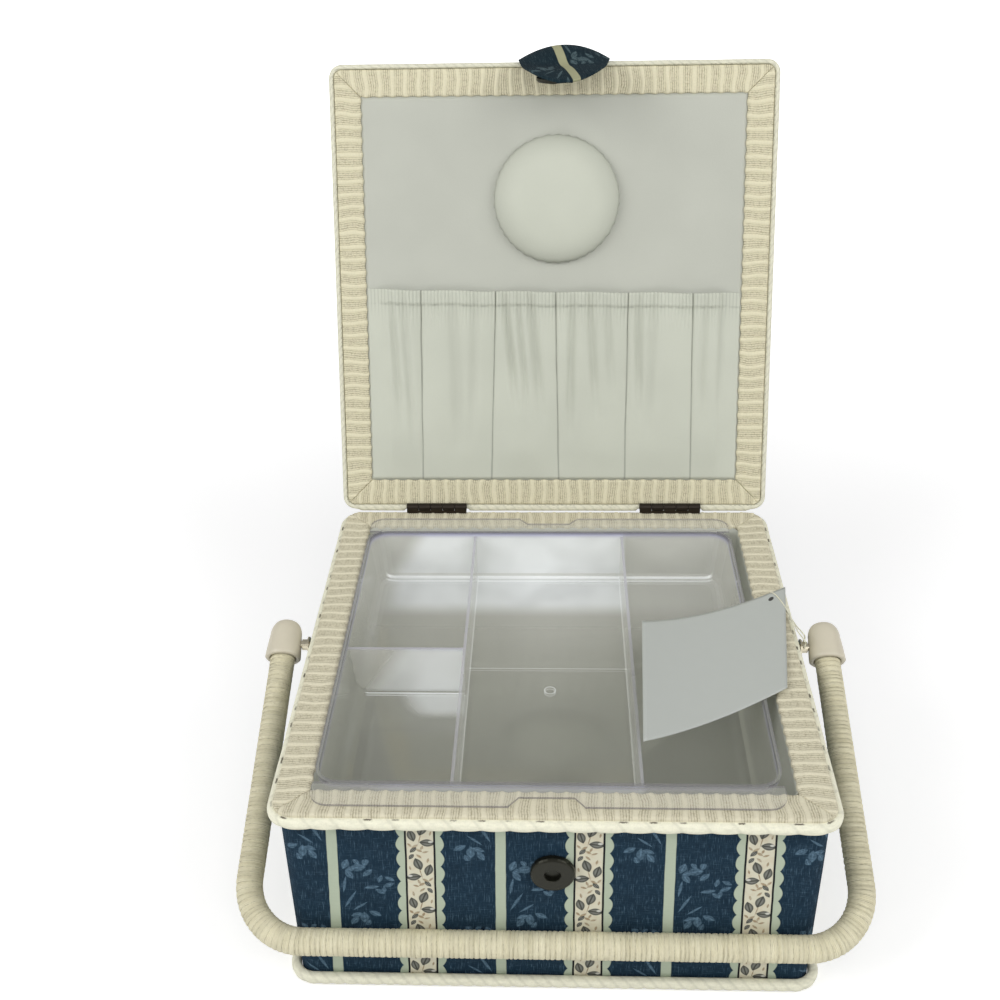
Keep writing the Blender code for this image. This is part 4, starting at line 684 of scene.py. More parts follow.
def surface(name, points, flat, finish, wrap=(False, False), capped=False, facing=None, sharp=None):
    """A grid of points as a mesh: neighbours in rows and columns make faces, and a wrapped way joins
    its end to its start. Capped closes the first and last rows. A closed mesh is turned by its volume,
    an open one by the way its middle should face."""
    rows, columns = points.shape[:2]
    corners = grid_faces(rows - (not wrap[0]), columns - (not wrap[1]))
    quads = np.stack([(a % rows) * columns + b % columns for a, b in corners], -1).reshape(-1, 4)
    laid = np.stack([flat[a, b] for a, b in corners], -2).reshape(-1, 4, 2)
    where = points.reshape(-1, 3)
    if capped or all(wrap):
        turned = inside_out(where, quads)
    else:
        a, b, c, d = (where[quads[:, k]] for k in range(4))
        turned = np.cross(c - a, d - b).sum(0) @ np.array(facing) < 0
    if turned:
        quads, laid = quads[:, ::-1], laid[:, ::-1]
    faces, flats = quads.tolist(), [laid.reshape(-1, 2)]
    if capped:
        for row in (0, rows - 1):
            ring = np.arange(columns)
            if (row == 0) == turned:
                ring = ring[::-1]
            faces.append((row * columns + ring).tolist())
            flats.append(flat[row, ring])
    return piece(name, points, faces, flats, finish, sharp)


def thicken(made, thickness, offset=-1.0):
    """Give an open sheet its thickness: behind its face, or with no offset to either side."""
    solid = made.modifiers.new("thickness", "SOLIDIFY")
    solid.thickness, solid.offset = thickness, offset


def settle(made, body, slot, *nodes):
    """Fix a piece to its body and hide the nodes it stands for. The slot is not used."""
    if body:
        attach(made, body)
    if nodes:
        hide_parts(*nodes)
    return made


def lengths_along(route):
    """The length from a route's start to each of its points."""
    return np.append(0, np.cumsum(np.linalg.norm(np.diff(route, axis=0), axis=1)))


def rounded_run(half_x, half_y, radius, count):
    """Points evenly spaced round a rounded rectangle, anticlockwise from the middle of its back: straight
    sides between four quarter circles. Gives points, outward directions, lengths along and the total."""
    angles = (np.radians([90, 180, 270, 360])[:, None] + np.radians(np.linspace(0, 90, 25))).ravel()
    outward = np.stack([np.cos(angles), np.sin(angles)], 1)
    centres = np.repeat([[-1, 1], [-1, -1], [1, -1], [1, 1]], 25, 0) * (half_x - radius, half_y - radius)
    points = np.vstack([[[0, half_y]], centres + radius * outward, [[0, half_y]]])
    outward = np.vstack([[[0, 1]], outward, [[0, 1]]])
    lengths = lengths_along(points)
    along = np.arange(count) / count * lengths[-1]
    points = np.stack([np.interp(along, lengths, p) for p in points.T], 1)
    outward = np.stack([np.interp(along, lengths, p) for p in outward.T], 1)
    return points, outward, along, lengths[-1]


def ripple(a, b, seed, size):
    """Slow unevenness over two coordinates: a sum of sine waves in seeded directions, within size."""
    count = 7
    draw = np.random.default_rng(seed)
    total = np.zeros(np.broadcast(a, b).shape)
    for _ in range(count):
        turn, rate, phase = draw.uniform(0, 2 * np.pi), draw.uniform(20, 110), draw.uniform(0, 2 * np.pi)
        total = total + np.sin(rate * (a * np.cos(turn) + b * np.sin(turn)) + phase)
    return size * total / count


def lid_place(x, s, t):
    """Points of the open lid: x across, s from the hinge axis to the front, t outwards from its inner face
    in a frame turned about the axis by the lid's lean."""
    cos, sin = -math.cos(LID_OPEN), math.sin(LID_OPEN)
    return points_at(x, AXIS_Y + cos * s + sin * t, AXIS_Z + sin * s - cos * t)


LID_INWARD = tuple(-(lid_place(0.0, 0.0, 1.0) - lid_place(0.0, 0.0, 0.0)))
LID_MIDDLE = LID_FRONT - LID_L / 2


# Box
def make_box_cover(colours):
    """The printed sleeve: a rounded rectangle carried up the walls, with slow hollows; and the base cloth."""
    run, outward, along, total = rounded_run(HALF_W, HALF_D, BOX_CORNER, 620)
    height = np.linspace(COVER_LOW, COVER_TOP, 44)
    hollow = np.abs(ripple(along[:, None], height[None], 3, 0.0004))
    xy = run[:, None] - outward[:, None] * hollow[..., None]
    points = np.dstack([xy, np.broadcast_to(height, hollow.shape)])
    across = (np.append(along, total) - total / 2)[:, None]
    spread = PRINT_SHIFT / MM - PRINT_SPREAD_SHARE * np.clip(across, -HALF_W, HALF_W)
    spread = spread * (1 - height / RIM_BAND_LOW)
    flat = paired((across + spread) * MM, height * MM)
    sleeve = surface("printed_sleeve", points, flat, print_finish(colours), wrap=(True, False),
                     facing=(0, 0, 0))
    if sleeve.data.polygons[0].normal @ sleeve.data.polygons[0].center < 0:
        sleeve.data.flip_normals()
    thicken(sleeve, CLOTH)
    settle(sleeve, "box", "navy_print_fabric", "outer_fabric_cover")
    share = np.linspace(0, 1, 12)[:, None, None]
    disc = run[None] * (1 - share)
    base = 0.0002 + 0.0006 * np.minimum(1, 4 * share[..., 0]) + 0 * disc[..., 0]
    points = np.dstack([disc[:-1], base[:-1]])
    close_rings("base_cloth_sheet", points, 0.0006, print_finish(colours), "box", "navy_print_fabric",
                "base_cloth")


def close_rings(name, points, middle_z, finish, body, slot, *nodes):
    """Rings that shrink to a pole at their middle, laid flat by their place, with their faces down."""
    rings, count = points.shape[:2]
    quads = np.stack([a * count + b % count for a, b in grid_faces(rings - 1, count)], -1).reshape(-1, 4)
    where = points.reshape(-1, 3)
    fan = np.arange(count)
    last = (rings - 1) * count
    tris = np.stack([last + fan, np.full(count, len(where)), last + (fan + 1) % count], -1)
    pole = where[last:].mean(0)
    pole[2] = middle_z
    where = np.vstack([where, pole])
    a, b, c, d = (where[quads[:, k]] for k in range(4))
    if np.cross(c - a, d - b)[:, 2].sum() > 0:
        quads, tris = quads[:, ::-1], tris[:, ::-1]
    flat = where[:, :2] * MM
    made = piece(name, where, quads.tolist() + tris.tolist(),
                 [flat[quads].reshape(-1, 2), flat[tris].reshape(-1, 2)], finish)
    thicken(made, 0.0005)
    return settle(made, body, slot, *nodes)


def make_box_lining(colours):
    """The satin box lining: a rounded rectangle carried down the walls, round the foot and in to a pole."""
    wall = np.linspace(COVER_TOP, LINING_LOW + LINING_FOOT, 24)
    bend = np.linspace(0, np.pi / 2, 6)[1:]
    reach = np.concatenate([0 * wall, LINING_FOOT * (1 - np.cos(bend))]) + CLOTH
    level = np.concatenate([wall, LINING_LOW + LINING_FOOT * (1 - np.sin(bend))]) + CLOTH
    rings = []
    for back, z in zip(reach, level):
        run = rounded_run(LINING_HALF_W - back, LINING_HALF_D - back, LINING_CORNER, 300)[0]
        rings.append(np.column_stack([run, np.full(300, z)]))
    edge = rings[-1]
    for share in np.linspace(0, 1, 26)[1:-1]:
        rings.append(np.column_stack([edge[:, :2] * (1 - share), edge[:, 2]]))
    points = np.array(rings)
    side = ripple(points[..., 0] + points[..., 1], points[..., 2], 5, 0.0006)
    slack = ripple(points[..., 0], points[..., 1], 6, 0.0010)
    floor = np.clip((LINING_LOW + 0.02 - points[..., 2]) / 0.02, 0, 1)
    points[..., :2] *= (1 - np.abs(side) * 6 * (1 - floor))[..., None]
    points[..., 2] += np.abs(slack) * floor
    made = close_rings("satin_box_lining", points, float(points[-1, :, 2].mean()), lining_finish(colours),
                       "box", "satin_lining", "satin_lining")
    made.data.flip_normals()


def half_round(share):
    """The height of a half circle over a share of its radius, 1 in the middle and 0 from the ends on."""
    return np.sqrt(np.clip(1 - share ** 2, 0, 1))


def woven_band(name, long, wide, corner, place, finish, sizes, shift):
    """One mitred band: at each place along it a closed outline, up the outer edge, over the cords, down the
    inner edge and back underneath. Its ends narrow to the mitre, and its outer corners are round. The height
    over the cords is a half circle for the wide cord and lower ones for the fine cords, which wander."""
    end = long / 2 - (1 - math.sqrt(0.5)) * corner
    along = np.linspace(-end, end, int(2 * end / 0.0004))
    reach = long / 2 - np.abs(along)
    pitch = sizes.weave_pitch
    inner = np.minimum(wide + 0.0003 * np.cos(2 * np.pi * (along + shift) / pitch) - 0.0002, reach)
    turn = np.sqrt(np.clip(corner ** 2 - (corner - reach) ** 2, 0, None))
    outer = np.minimum(np.where(reach < corner, corner - turn, 0), inner)
    share, rise = np.array(BAND_OUTLINE).T
    across = outer[:, None] + share * (inner - outer)[:, None]
    order = along[:, None] + shift + ripple(along[:, None] * 2.5 + long, across * 4, 51, 0.0016)
    near = np.abs((order + pitch / 2) % pitch - pitch / 2)
    wide_cord, fine_cord = WIDE_CORD / MM, FINE_CORD / MM
    fine = ((near - wide_cord) / fine_cord) % 1
    cords = np.where(near < wide_cord, half_round(near / wide_cord), 0.15 + 0.45 * half_round(2 * fine - 1))
    mitre = np.clip((reach - outer) / 0.003, 0, 1)[:, None]
    top = BAND - 0.0008 * (1 - cords) - 0.0006 * (1 - mitre)
    points = place(along[:, None], across, rise * top)
    flat = np.dstack([np.append(order, order[:, :1], 1), np.append(across, across[:, :1], 1)]) * MM
    return surface(name, points, flat, finish, wrap=(False, True), capped=True, sharp=70)


def band_frame(name, half_x, half_y, wide, corner, place, finish, sizes, shift, body, node):
    """Four mitred bands round a rectangle, each laid along its own side and turned to its place."""
    sides = {
        "front": (half_x, lambda a, b: (a, b - half_y)),
        "back": (half_x, lambda a, b: (-a, half_y - b)),
        "left": (half_y, lambda a, b: (b - half_x, -a)),
        "right": (half_y, lambda a, b: (half_x - b, a)),
    }
    for side, (half, turned) in sides.items():
        band = woven_band(f"{name}_{side}", 2 * half, wide, corner,
                          lambda a, b, h: place(*turned(a, b), h), finish, sizes, shift)
        settle(band, body, "cream_woven_band", f"{node}_{side}")


def make_bands(sizes, colours):
    """The bands on the rim, which lap over the top braid, and those on the lid's inner face."""
    band_frame("woven_rim", HALF_W + RIM_LAP, HALF_D + RIM_LAP, RIM_WIDTH, BOX_CORNER + RIM_LAP,
               lambda x, y, h: points_at(x, y, h + HEIGHT - BAND),
               band_finish("woven_rim_band", colours.rim, sizes), sizes, 0.0011, "box", "rim_band")
    edge = PIPING_THIN + GAP / 2
    band_frame("woven_lid", LID_W / 2 - edge, LID_L / 2 - edge, LID_BAND_WIDTH, LID_CORNER - edge,
               lambda x, y, h: lid_place(x, LID_MIDDLE - y, BAND - h),
               band_finish("woven_lid_band", colours.band, sizes), sizes, 0.0021, "lid", "lid_band")


def cord_ring(name, half_x, half_y, corner, thick, tall, lobe, depth, place, finish):
    """A flattened cord round a rounded rectangle: nearly an ellipse across it, whose lower half swells and
    shrinks in lobes as it goes along."""
    run, outward, along, total = rounded_run(half_x, half_y, corner, 900)
    swell = np.abs(np.sin(np.pi * round(total / lobe) * along / total)) ** 0.7
    angle = (np.arange(24) / 12 - 1) * np.pi
    sway = 1 + 0.03 * np.sin(2 * np.pi * 23 * along / total + 1)[:, None] * np.sin(angle + 1)
    size = np.minimum(1, sway) * (1 - depth * (1 - swell[:, None]) * np.clip(-np.sin(angle), 0, 1))
    out = thick * size * np.sign(np.cos(angle)) * np.abs(np.cos(angle)) ** 0.8
    up = tall * size * np.sign(np.sin(angle)) * np.abs(np.sin(angle)) ** 0.8
    x, y = np.moveaxis(run[:, None] + outward[:, None] * out[..., None], -1, 0)
    points = place(x, y, up)
    whole = round(total / lobe) * lobe / total
    flat = paired(np.append(along, total)[:, None] * whole * MM, np.append(angle, np.pi)[None] * 3.0)
    return surface(name, points, flat, finish, wrap=(True, True))


def make_trim_cords(sizes, colours):
    """The braid round the top and the foot of the box."""
    reach = GAP + BRAID_THICK
    rim_cord = paper_cord("rim_paper_cord", colours.cord, 13.2, 2.4, 4.4, 0.6, 0.9, 13.2)
    for end, z, pitch, finish in (("top", TOP_BRAID_Z, sizes.braid_pitch, rim_cord),
                                  ("base", BASE_BRAID_Z, sizes.braid_pitch / 2, cord_finish(colours))):
        ring = cord_ring(f"twisted_{end}_braid", HALF_W + reach, HALF_D + reach, BOX_CORNER + reach,
                         BRAID_THICK, BRAID_TALL, pitch, 0.30, lambda x, y, up: points_at(x, y, up + z),
                         finish)
        settle(ring, "box", "cream_cord", f"{end}_braid_cord")


# Lid
def crown_rings(levels):
    """Outlines that rise from the lid's edge over a rounded shoulder to the crown, and their flat place."""
    half_x, half_y = LID_W / 2 - COVER_INSET, LID_L / 2 - COVER_INSET
    rings, flats, drop, last = [], [], 0.0, None
    for reach, height in levels[::-1]:
        corner = min(LID_CORNER + reach * 0.45, half_x - reach - 0.0002)
        run, outward, _, _ = rounded_run(half_x - reach, half_y - reach, corner, 320)
        if last is not None:
            drop += abs(height - last) if reach < EDGE_ROUND else 0
        last = height
        rings.append(np.column_stack([run, np.full(320, height)]))
        flats.append((run + outward * drop) * MM)
    return np.array(rings[::-1]), np.array(flats[::-1])


def make_lid_top(colours):
    """The padded top: cloth up the lid's edge, over a round shoulder and on over the stuffed crown."""
    bend = np.linspace(0, np.pi / 2, 7)
    levels = [(0, z) for z in np.linspace(PIPING + GAP, LID_EDGE - EDGE_ROUND, 5)[:-1]]
    levels += [(EDGE_ROUND * (1 - math.cos(a)), LID_EDGE + EDGE_ROUND * (math.sin(a) - 1)) for a in bend]
    inner = LID_W / 2 - COVER_INSET
    for share in np.linspace(0, 1, 46)[1:-1]:
        levels.append((EDGE_ROUND + share * (inner - EDGE_ROUND - 0.001),
                       LID_EDGE + LID_CROWN * (1 - (1 - share) ** 2.4)))
    rings, flats = crown_rings(levels)
    count = rings.shape[1]
    slack = ripple(rings[..., 0], rings[..., 1], 11, 0.0009)
    rings[..., 2] -= np.abs(slack) * np.clip((rings[..., 2] - LID_EDGE) / 0.003, 0, 1)
    points = lid_place(rings[..., 0], LID_MIDDLE - rings[..., 1], rings[..., 2])
    corners = grid_faces(len(points) - 1, count)
    quads = np.stack([a * count + b % count for a, b in corners], -1).reshape(-1, 4)[:, [0, 3, 2, 1]]
    last = (len(points) - 1) * count + np.arange(count)
    laid = flats.reshape(-1, 2)
    cover = piece("padded_lid_cover", points, quads.tolist() + [last.tolist()],
                  [laid[quads].reshape(-1, 2), laid[last]], print_finish(colours))
    middle = np.array(lid_place(0.0, LID_MIDDLE, 0.0))
    face = cover.data.polygons[0]
    if (np.array(face.normal) @ (np.array(face.center) - middle)) < 0:
        cover.data.flip_normals()
    thicken(cover, CLOTH)
    settle(cover, "lid", "navy_print_fabric", "lid_fabric_cover", "lid_padding")


def make_lid_piping(colours):
    """The piping round the lid's edge. Along the hinge edge its outer side swells towards the box, but not
    where the hinges are."""
    half, tall = PIPING_THIN / 2, PIPING / 2
    finish = paper_cord("stitched_piping", dimmed(colours.cord, 0.88), 2.6, 0.8, -7.0, 1.0, 0.28, 5.6)

    def place(x, y, up):
        clear = np.clip((np.abs(np.abs(x) - HINGE_X) - HINGE_HALF) / 0.001, 0, 1)
        back = np.clip((LID_W / 2 - LID_CORNER - np.abs(x)) / 0.004, 0, 1)
        outer = np.clip((y - LID_L / 2 + half) / half, 0, 1)
        return lid_place(x, LID_MIDDLE - y - PIPING_DROP * clear * back * outer, tall + up)
    ring = cord_ring("rolled_lid_piping", LID_W / 2 - half, LID_L / 2 - half, LID_CORNER - half, half,
                     tall, 0.056, 0.06, place, finish)
    settle(ring, "lid", "cream_cord", "lid_piping")


def make_lid_lining(colours):
    """The satin panel inside the lid, nearly flat, with slow hollows."""
    x = np.linspace(-PANEL_HALF - PANEL_TUCK, PANEL_HALF + PANEL_TUCK, 90)[:, None]
    s = np.linspace(PANEL_BACK - PANEL_TUCK, PANEL_FRONT + PANEL_TUCK, 90)[None]
    t = SEWN_T - 0.0001 + np.abs(ripple(x, s, 21, 0.0005)) * 0.6
    points = lid_place(x, s, t)
    flat = paired(x * MM, s * MM)
    panel = surface("satin_lid_panel", points, flat, lining_finish(colours), facing=LID_INWARD)
    thicken(panel, 0.0005)
    settle(panel, "lid", "satin_lining", "lid_lining")


def make_pincushion(sizes, colours):
    """A stuffed round cushion: a full, flattened crown, drawn in and puckered at its sewn foot."""
    rise = np.linspace(0, 1, 30)[:, None]
    angle = (np.arange(160) / 160 * 2 * np.pi)[None]
    bend = rise * np.pi / 2
    radius = sizes.cushion_radius * np.cos(bend) ** 0.86 + 0 * angle
    height = sizes.cushion_height * np.sin(bend) ** 0.9 + 0 * angle
    foot = np.clip(1 - rise / 0.28, 0, 1)
    pucker = np.cos(38 * angle + 1.3 * np.sin(5 * angle)) * 0.5 + 0.5
    radius = radius - foot * (0.0003 + 0.0009 * pucker)
    radius[-1] = 0.0002
    x, y = radius * np.cos(angle), radius * np.sin(angle)
    height = height + ripple(x, y, 31, 0.0005) * np.clip(rise * 2, 0, 1)
    points = lid_place(CUSHION_X + x, CUSHION_S + y, SEWN_T - height)
    flat = np.dstack([np.append(x, x[:, :1], 1), np.append(y, y[:, :1], 1)]) * MM
    finish = soft_cloth("cushion_cotton", colours.cushion, 0.75, 0.3, 1.6, cushion_shade)
    dome = surface("stuffed_pincushion", points, flat, finish, wrap=(False, True), capped=True)
    settle(dome, "lid", "satin_lining", "pincushion")


def make_pockets(sizes, colours):
    """Gathered pocket cloth: it stands off the lining between its seams, more towards the top, with slanting
    folds and fine gathers that fade below the elastic's casing."""
    inner = PANEL_HALF - GAP
    x = np.linspace(-inner, inner, 620)[:, None]
    share = np.linspace(0, POCKET_HEM_SHARE, 60)
    share = np.append(share, np.linspace(POCKET_HEM_SHARE, 1, 18)[1:])[None]
    low = POCKET_FOOT / MM
    droop = 0.0042 * np.clip((x + inner) / (2 * inner), 0, 1) ** 0.7 + 0.0006 * np.cos(x * 75) ** 2
    s = low + share * (POCKET_TALL / MM - droop)
    seams = np.array([[-inner * MM] * 2, *POCKET_SEAMS, [inner * MM] * 2]) / MM
    edges = seams[:, 1][:, None, None] + (seams[:, 0] - seams[:, 1])[:, None, None] * share
    puff = np.zeros(np.broadcast(x, share).shape)
    for left, right in zip(edges, edges[1:]):
        q = np.clip((x - left) / (right - left), 0, 1)
        puff = puff + np.sin(np.pi * q) ** 0.45 * (0.35 + 0.65 * share)
    side = np.clip((inner - np.abs(x)) / 0.013, 0, 1) ** 2
    stand = sizes.pocket_puff * puff * np.minimum(1, share / 0.15)
    for top, foot, deep, wide, fade in POCKET_FOLDS:
        line = (foot + (top - foot) * share) / MM
        strength = np.clip((share - fade) / 0.25, 0, 1) * (1 - 0.5 * np.clip((share - 0.85) / 0.15, 0, 1))
        stand = stand - 0.0022 * deep * strength * np.exp(-((x - line) / (wide / MM / 2)) ** 2)
    gather = np.cos(2 * np.pi * x / 0.0022) * (0.7 + 0.3 * np.sin(x * 333))
    casing = np.clip((share - POCKET_HEM_SHARE) / 0.012, 0, 1) * np.clip((1.004 - share) / 0.012, 0, 1)
    stand = stand - gather * 0.0003 * np.clip((share - 0.78) / 0.14, 0, 1) + casing * 0.0009
    stand = np.clip(stand, 0, None) * side + 0.00005
    points = lid_place(x, s, SEWN_T - GAP - stand)
    flat = paired(x * MM, POCKET_FOOT + share * POCKET_TALL)
    finish = soft_cloth("pocket_cotton", colours.cushion, 0.7, 0.3, 1.3, pocket_shade)
    cloth = surface("gathered_pockets", points, flat, finish, facing=LID_INWARD)
    thicken(cloth, 0.0005, 0.0)
    tuple(lid_place(0.0, 0.08, SEWN_T))
    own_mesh(cloth)
    settle(cloth, "lid", "satin_lining", "pocket_cloth", "pocket_elastic")


def make_closure_tab(colours):
    """One doubled cloth from the lid's front edge to its tip: it bulges out near the root, most at its
    middle, settles at the snap's fold, and narrows as a half ellipse to a tip that bends down."""
    drop = np.linspace(0, TAB_LONG, 64)[None]
    column = np.linspace(-1, 1, 44)[:, None]
    past = np.clip((drop - 0.12 * TAB_LONG) / (0.88 * TAB_LONG), 0, 1)
    half = TAB_HALF * np.maximum(np.sqrt(1 - past * past), 0.16)
    along = np.minimum(1, drop / TAB_FOLD)
    swell = np.sin(np.pi * along ** 0.7) * (1 - along ** 3)
    settle_in = along * along * (3 - 2 * along)
    out = TAB_BULGE * 1.08 * swell * (1 - 0.85 * column ** 2) + TAB_SEAT * settle_in
    out = out + ripple(column * 0.026, drop, 41, 0.0004)
    out = out - 0.0036 * np.clip((drop - TAB_FOLD) / (TAB_LONG - TAB_FOLD), 0, 1) ** 2
    x = TAB_SHIFT + column * half
    cos, sin = math.cos(TAB_DROOP), math.sin(TAB_DROOP)

    def place(x, out, drop):
        return lid_place(x, TAB_S + out * cos - drop * sin, TAB_T - out * sin - drop * cos)
    points = place(x, out, drop)
    turned_cos, turned_sin = math.cos(TAB_PRINT_TURN), math.sin(TAB_PRINT_TURN)
    a, b = (x - 0.0012) * MM, (drop - 0.012) * MM
    across = np.clip(a * turned_cos - b * turned_sin, -TAB_PRINT_REACH, TAB_PRINT_REACH)
    flat = paired(across + STRIPE_PLACE, a * turned_sin + b * turned_cos + 60)
    # The tab's print is dimmed as painted shade
    tab = surface("doubled_closure_tab", points, flat, printed_cloth("shaded_tab_cotton", colours, TAB_PAINTED_SHADE),
                  facing=tuple(lid_place(0.0, 1.0, 0.0) - lid_place(0.0, 0.0, 0.0)))
    thicken(tab, TAB_THICK, 0.0)
    tuple(place(TAB_SHIFT, TAB_SEAT, TAB_FOLD - 0.004))
    tuple(place(TAB_SHIFT, TAB_SEAT, TAB_FOLD + 0.003))
    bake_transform(tab)
    settle(tab, None, "navy_print_fabric", "closure_tab_root", "closure_tab_end")


# Handle
def bail_route():
    """The handle's centre line in its own plane, with the length along it: arm, quarter circle, crossbar, and
    the same back up."""
    angle = np.linspace(0, np.pi / 2, 60)
    arc = np.stack([BAIL_FOOT - BAIL_CORNER * (1 - np.cos(angle)),
                    BAIL_REACH - BAIL_CORNER * (1 - np.sin(angle))], 1)
    right = np.vstack([[[BAIL_TOP + BAIL_START * BAIL_SPLAY, BAIL_START]], arc])
    route = np.vstack([right * (-1, 1), right[::-1]])
    return route, lengths_along(route)


def make_handle_winding(sizes, colours):
    """Cord wound round the bail: each turn is a half-round ridge, and the rows of the mesh follow the helix,
    so a row at the end of one turn is the row at the start of the next."""
    route, lengths = bail_route()
    columns, steps = 16, 6
    turns = int(lengths[-1] / sizes.wind_pitch) - 1
    rows = turns * steps
    draw = np.random.default_rng(8)
    turn = (np.arange(rows + steps)[:, None] / steps + np.arange(columns)[None] / columns)
    wander = 0.16 * np.sin(turn * 0.61) + 0.13 * np.sin(turn * 1.73 + 1) + 0.1 * np.sin(turn * 0.23 + 2)
    span = lengths[-1] * (turn + wander) / (turns + 2)
    size = np.interp(turn, np.arange(turns + 4), draw.uniform(0.2, 1.3, turns + 4))
    part = (np.arange(rows + steps) % steps / steps)[:, None]
    groove = sizes.wind_depth * (1 - half_round(2 * part - 1)) * size
    radius = BAIL_RADIUS - 0.0001 - groove - 0.00012 * (1.25 - size)
    angle = np.arange(columns)[None] / columns * 2 * np.pi
    behind, at, ahead = (np.stack([np.interp(span + step, lengths, c) for c in route.T], -1)
                         for step in (-0.002, 0.0, 0.002))
    along = ahead - behind
    along /= np.linalg.norm(along, axis=-1, keepdims=True)
    out = radius * np.cos(angle)
    plane = at + np.stack([-along[..., 1], along[..., 0]], -1) * out[..., None]
    points = bail_place(plane[..., 0], plane[..., 1], radius * np.sin(angle))

    def index(a, b):
        return np.where(b < columns, a * columns + b, (a + steps) * columns)
    corners = grid_faces(rows - 1, columns)
    quads = np.stack([index(a, b) for a, b in corners], -1).reshape(-1, 4)
    laid = np.stack([np.stack([a / steps + b / columns, b / columns * 44.0], -1) for a, b in corners], -2)
    where = points.reshape(-1, 3)
    start = [*range(columns), *(k * columns for k in range(steps, 0, -1))]
    first = (rows - 1) * columns
    finish_ring = [*range(first, first + columns), *(first + k * columns for k in range(steps, 0, -1))]
    if inside_out(where, quads):
        quads, laid = quads[:, ::-1], laid[..., ::-1, :]
        finish_ring = finish_ring[::-1]
    else:
        start = start[::-1]
    faces = quads.tolist() + [start, finish_ring]
    used = int(max(quads.max(), max(finish_ring))) + 1
    wound = piece("wound_bail_cord", where[:used], faces,
                  [laid.reshape(-1, 2), np.zeros((len(start) + len(finish_ring), 2))],
                  winding_finish(colours))
    settle(wound, "handle", "cream_cord", "handle_cord_wrap")


def bail_place(x, reach, lift):
    """A point of the bail at rest: x across, reach away from the pivots, lift out of the bail's plane."""
    cos, sin = math.cos(BAIL_REST), math.sin(BAIL_REST)
    return points_at(x, PIVOT_Y - reach * cos - lift * sin, PIVOT_Z - reach * sin + lift * cos)


def make_end_caps(colours):
    """The moulded caps of the handle: a profile turned about each arm. From a pole inside the mouth it goes
    out to the wall, round the lip, and narrows to a domed top."""
    bend = np.linspace(0, np.pi / 2, 14)
    side = np.linspace(0, 1, 10)
    bore, step = BAIL_RADIUS + GAP, 0.0006
    lip = [(0.0001, END_CAP_MOUTH - 0.003), (bore, END_CAP_MOUTH - 0.003), (bore, END_CAP_MOUTH - GAP),
           (bore + GAP, END_CAP_MOUTH), (END_CAP_WIDE - step, END_CAP_MOUTH)]
    wall = np.stack([END_CAP_WIDE - (END_CAP_WIDE - END_CAP_NECK) * side ** 1.3,
                     END_CAP_MOUTH - step - (END_CAP_MOUTH - step + 0.005) * side], 1)
    dome = np.stack([END_CAP_NECK * np.cos(bend[1:]) ** 0.55 + 0.00005,
                     -0.005 - (END_CAP_TOP - 0.005) * np.sin(bend[1:]) ** 1.1], 1)
    profile = np.vstack([lip, wall, dome])
    angle = np.arange(56) / 28 * np.pi
    radius, reach = profile[:, :1], profile[:, 1:]
    flat = paired(reach * MM, np.arange(57.0)[None])
    finish = worked_surface("moulded_cap", colours.cap, 90, 0.08, 0.00005, Roughness=0.42)
    for name, way in (("left", -1), ("right", 1)):
        across = way * (BAIL_TOP + BAIL_SPLAY * reach + radius * np.cos(angle))
        points = bail_place(across, reach, radius * np.sin(angle))
        cap = surface(f"moulded_cap_{name}", points, flat, finish, wrap=(False, True), capped=True, sharp=50)
        settle(cap, "handle", "cream_plastic", f"end_cap_{name}")


# Card and its loop
def make_card(sizes, colours):
    """A blank card between four corners, lying on the tray's side and curling up to its free edge; and the
    thin loop through its hole to the handle's stud."""
    a = np.linspace(0, 1, 40)[:, None]
    b = np.linspace(0, 1, 40)[None]
    top = (1 - a)[..., None] * CARD_RIGHT[0] + a[..., None] * CARD_LEFT[0]
    foot = (1 - a)[..., None] * CARD_RIGHT[1] + a[..., None] * CARD_LEFT[1]
    xy = (1 - b)[..., None] * top + b[..., None] * foot
    z = CARD_Z + sizes.card_lift * (1 - 0.25 * b) * a ** 2.4
    points = np.dstack([xy, z])
    flat = paired(a * CARD_LONG, b * CARD_WIDE)
    card = surface("blank_card_tag", points, flat, card_finish(colours), facing=(0, 0, 1))
    thicken(card, 0.0003, 0.0)
    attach(card, "tray")
    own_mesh(card)
    route = smooth_route(np.array(CARD_LOOP), 64)
    loop = tube("card_loop", route, LOOP_RADIUS, cord_finish(colours))
    settle(loop, "box", "cream_cord")


def smooth_route(hooks, count):
    """A smooth curve through given points: a cubic between each two, its slopes from their neighbours."""
    ends = np.vstack([2 * hooks[0] - hooks[1], hooks, 2 * hooks[-1] - hooks[-2]])
    at = np.linspace(0, len(hooks) - 1, count)
    k = np.minimum(at.astype(int), len(hooks) - 2)
    f = (at - k)[:, None]
    p0, p1, p2, p3 = (ends[k + n] for n in range(4))
    return 0.5 * (2 * p1 + (p2 - p0) * f + (2 * p0 - 5 * p1 + 4 * p2 - p3) * f ** 2
                  + (3 * p1 - p0 - 3 * p2 + p3) * f ** 3)


def tube(name, route, radius, finish):
    """A round tube along a route: circles across it, each started on the side that a fixed slanting line
    gives, so the tube doesn't twist."""
    columns = 10
    along = np.gradient(route, axis=0)
    along /= np.linalg.norm(along, axis=1, keepdims=True)
    side = np.cross(along, [0.3, 0.2, 1.0])
    side /= np.linalg.norm(side, axis=1, keepdims=True)
    over = np.cross(along, side)
    angle = np.arange(columns) / columns * 2 * np.pi
    points = route[:, None] + radius * (side[:, None] * np.cos(angle)[None, :, None]
                                        + over[:, None] * np.sin(angle)[None, :, None])
    flat = paired(lengths_along(route)[:, None] * MM, np.linspace(0, 4, columns + 1)[None])
    return surface(name, points, flat, finish, wrap=(False, True), capped=True)


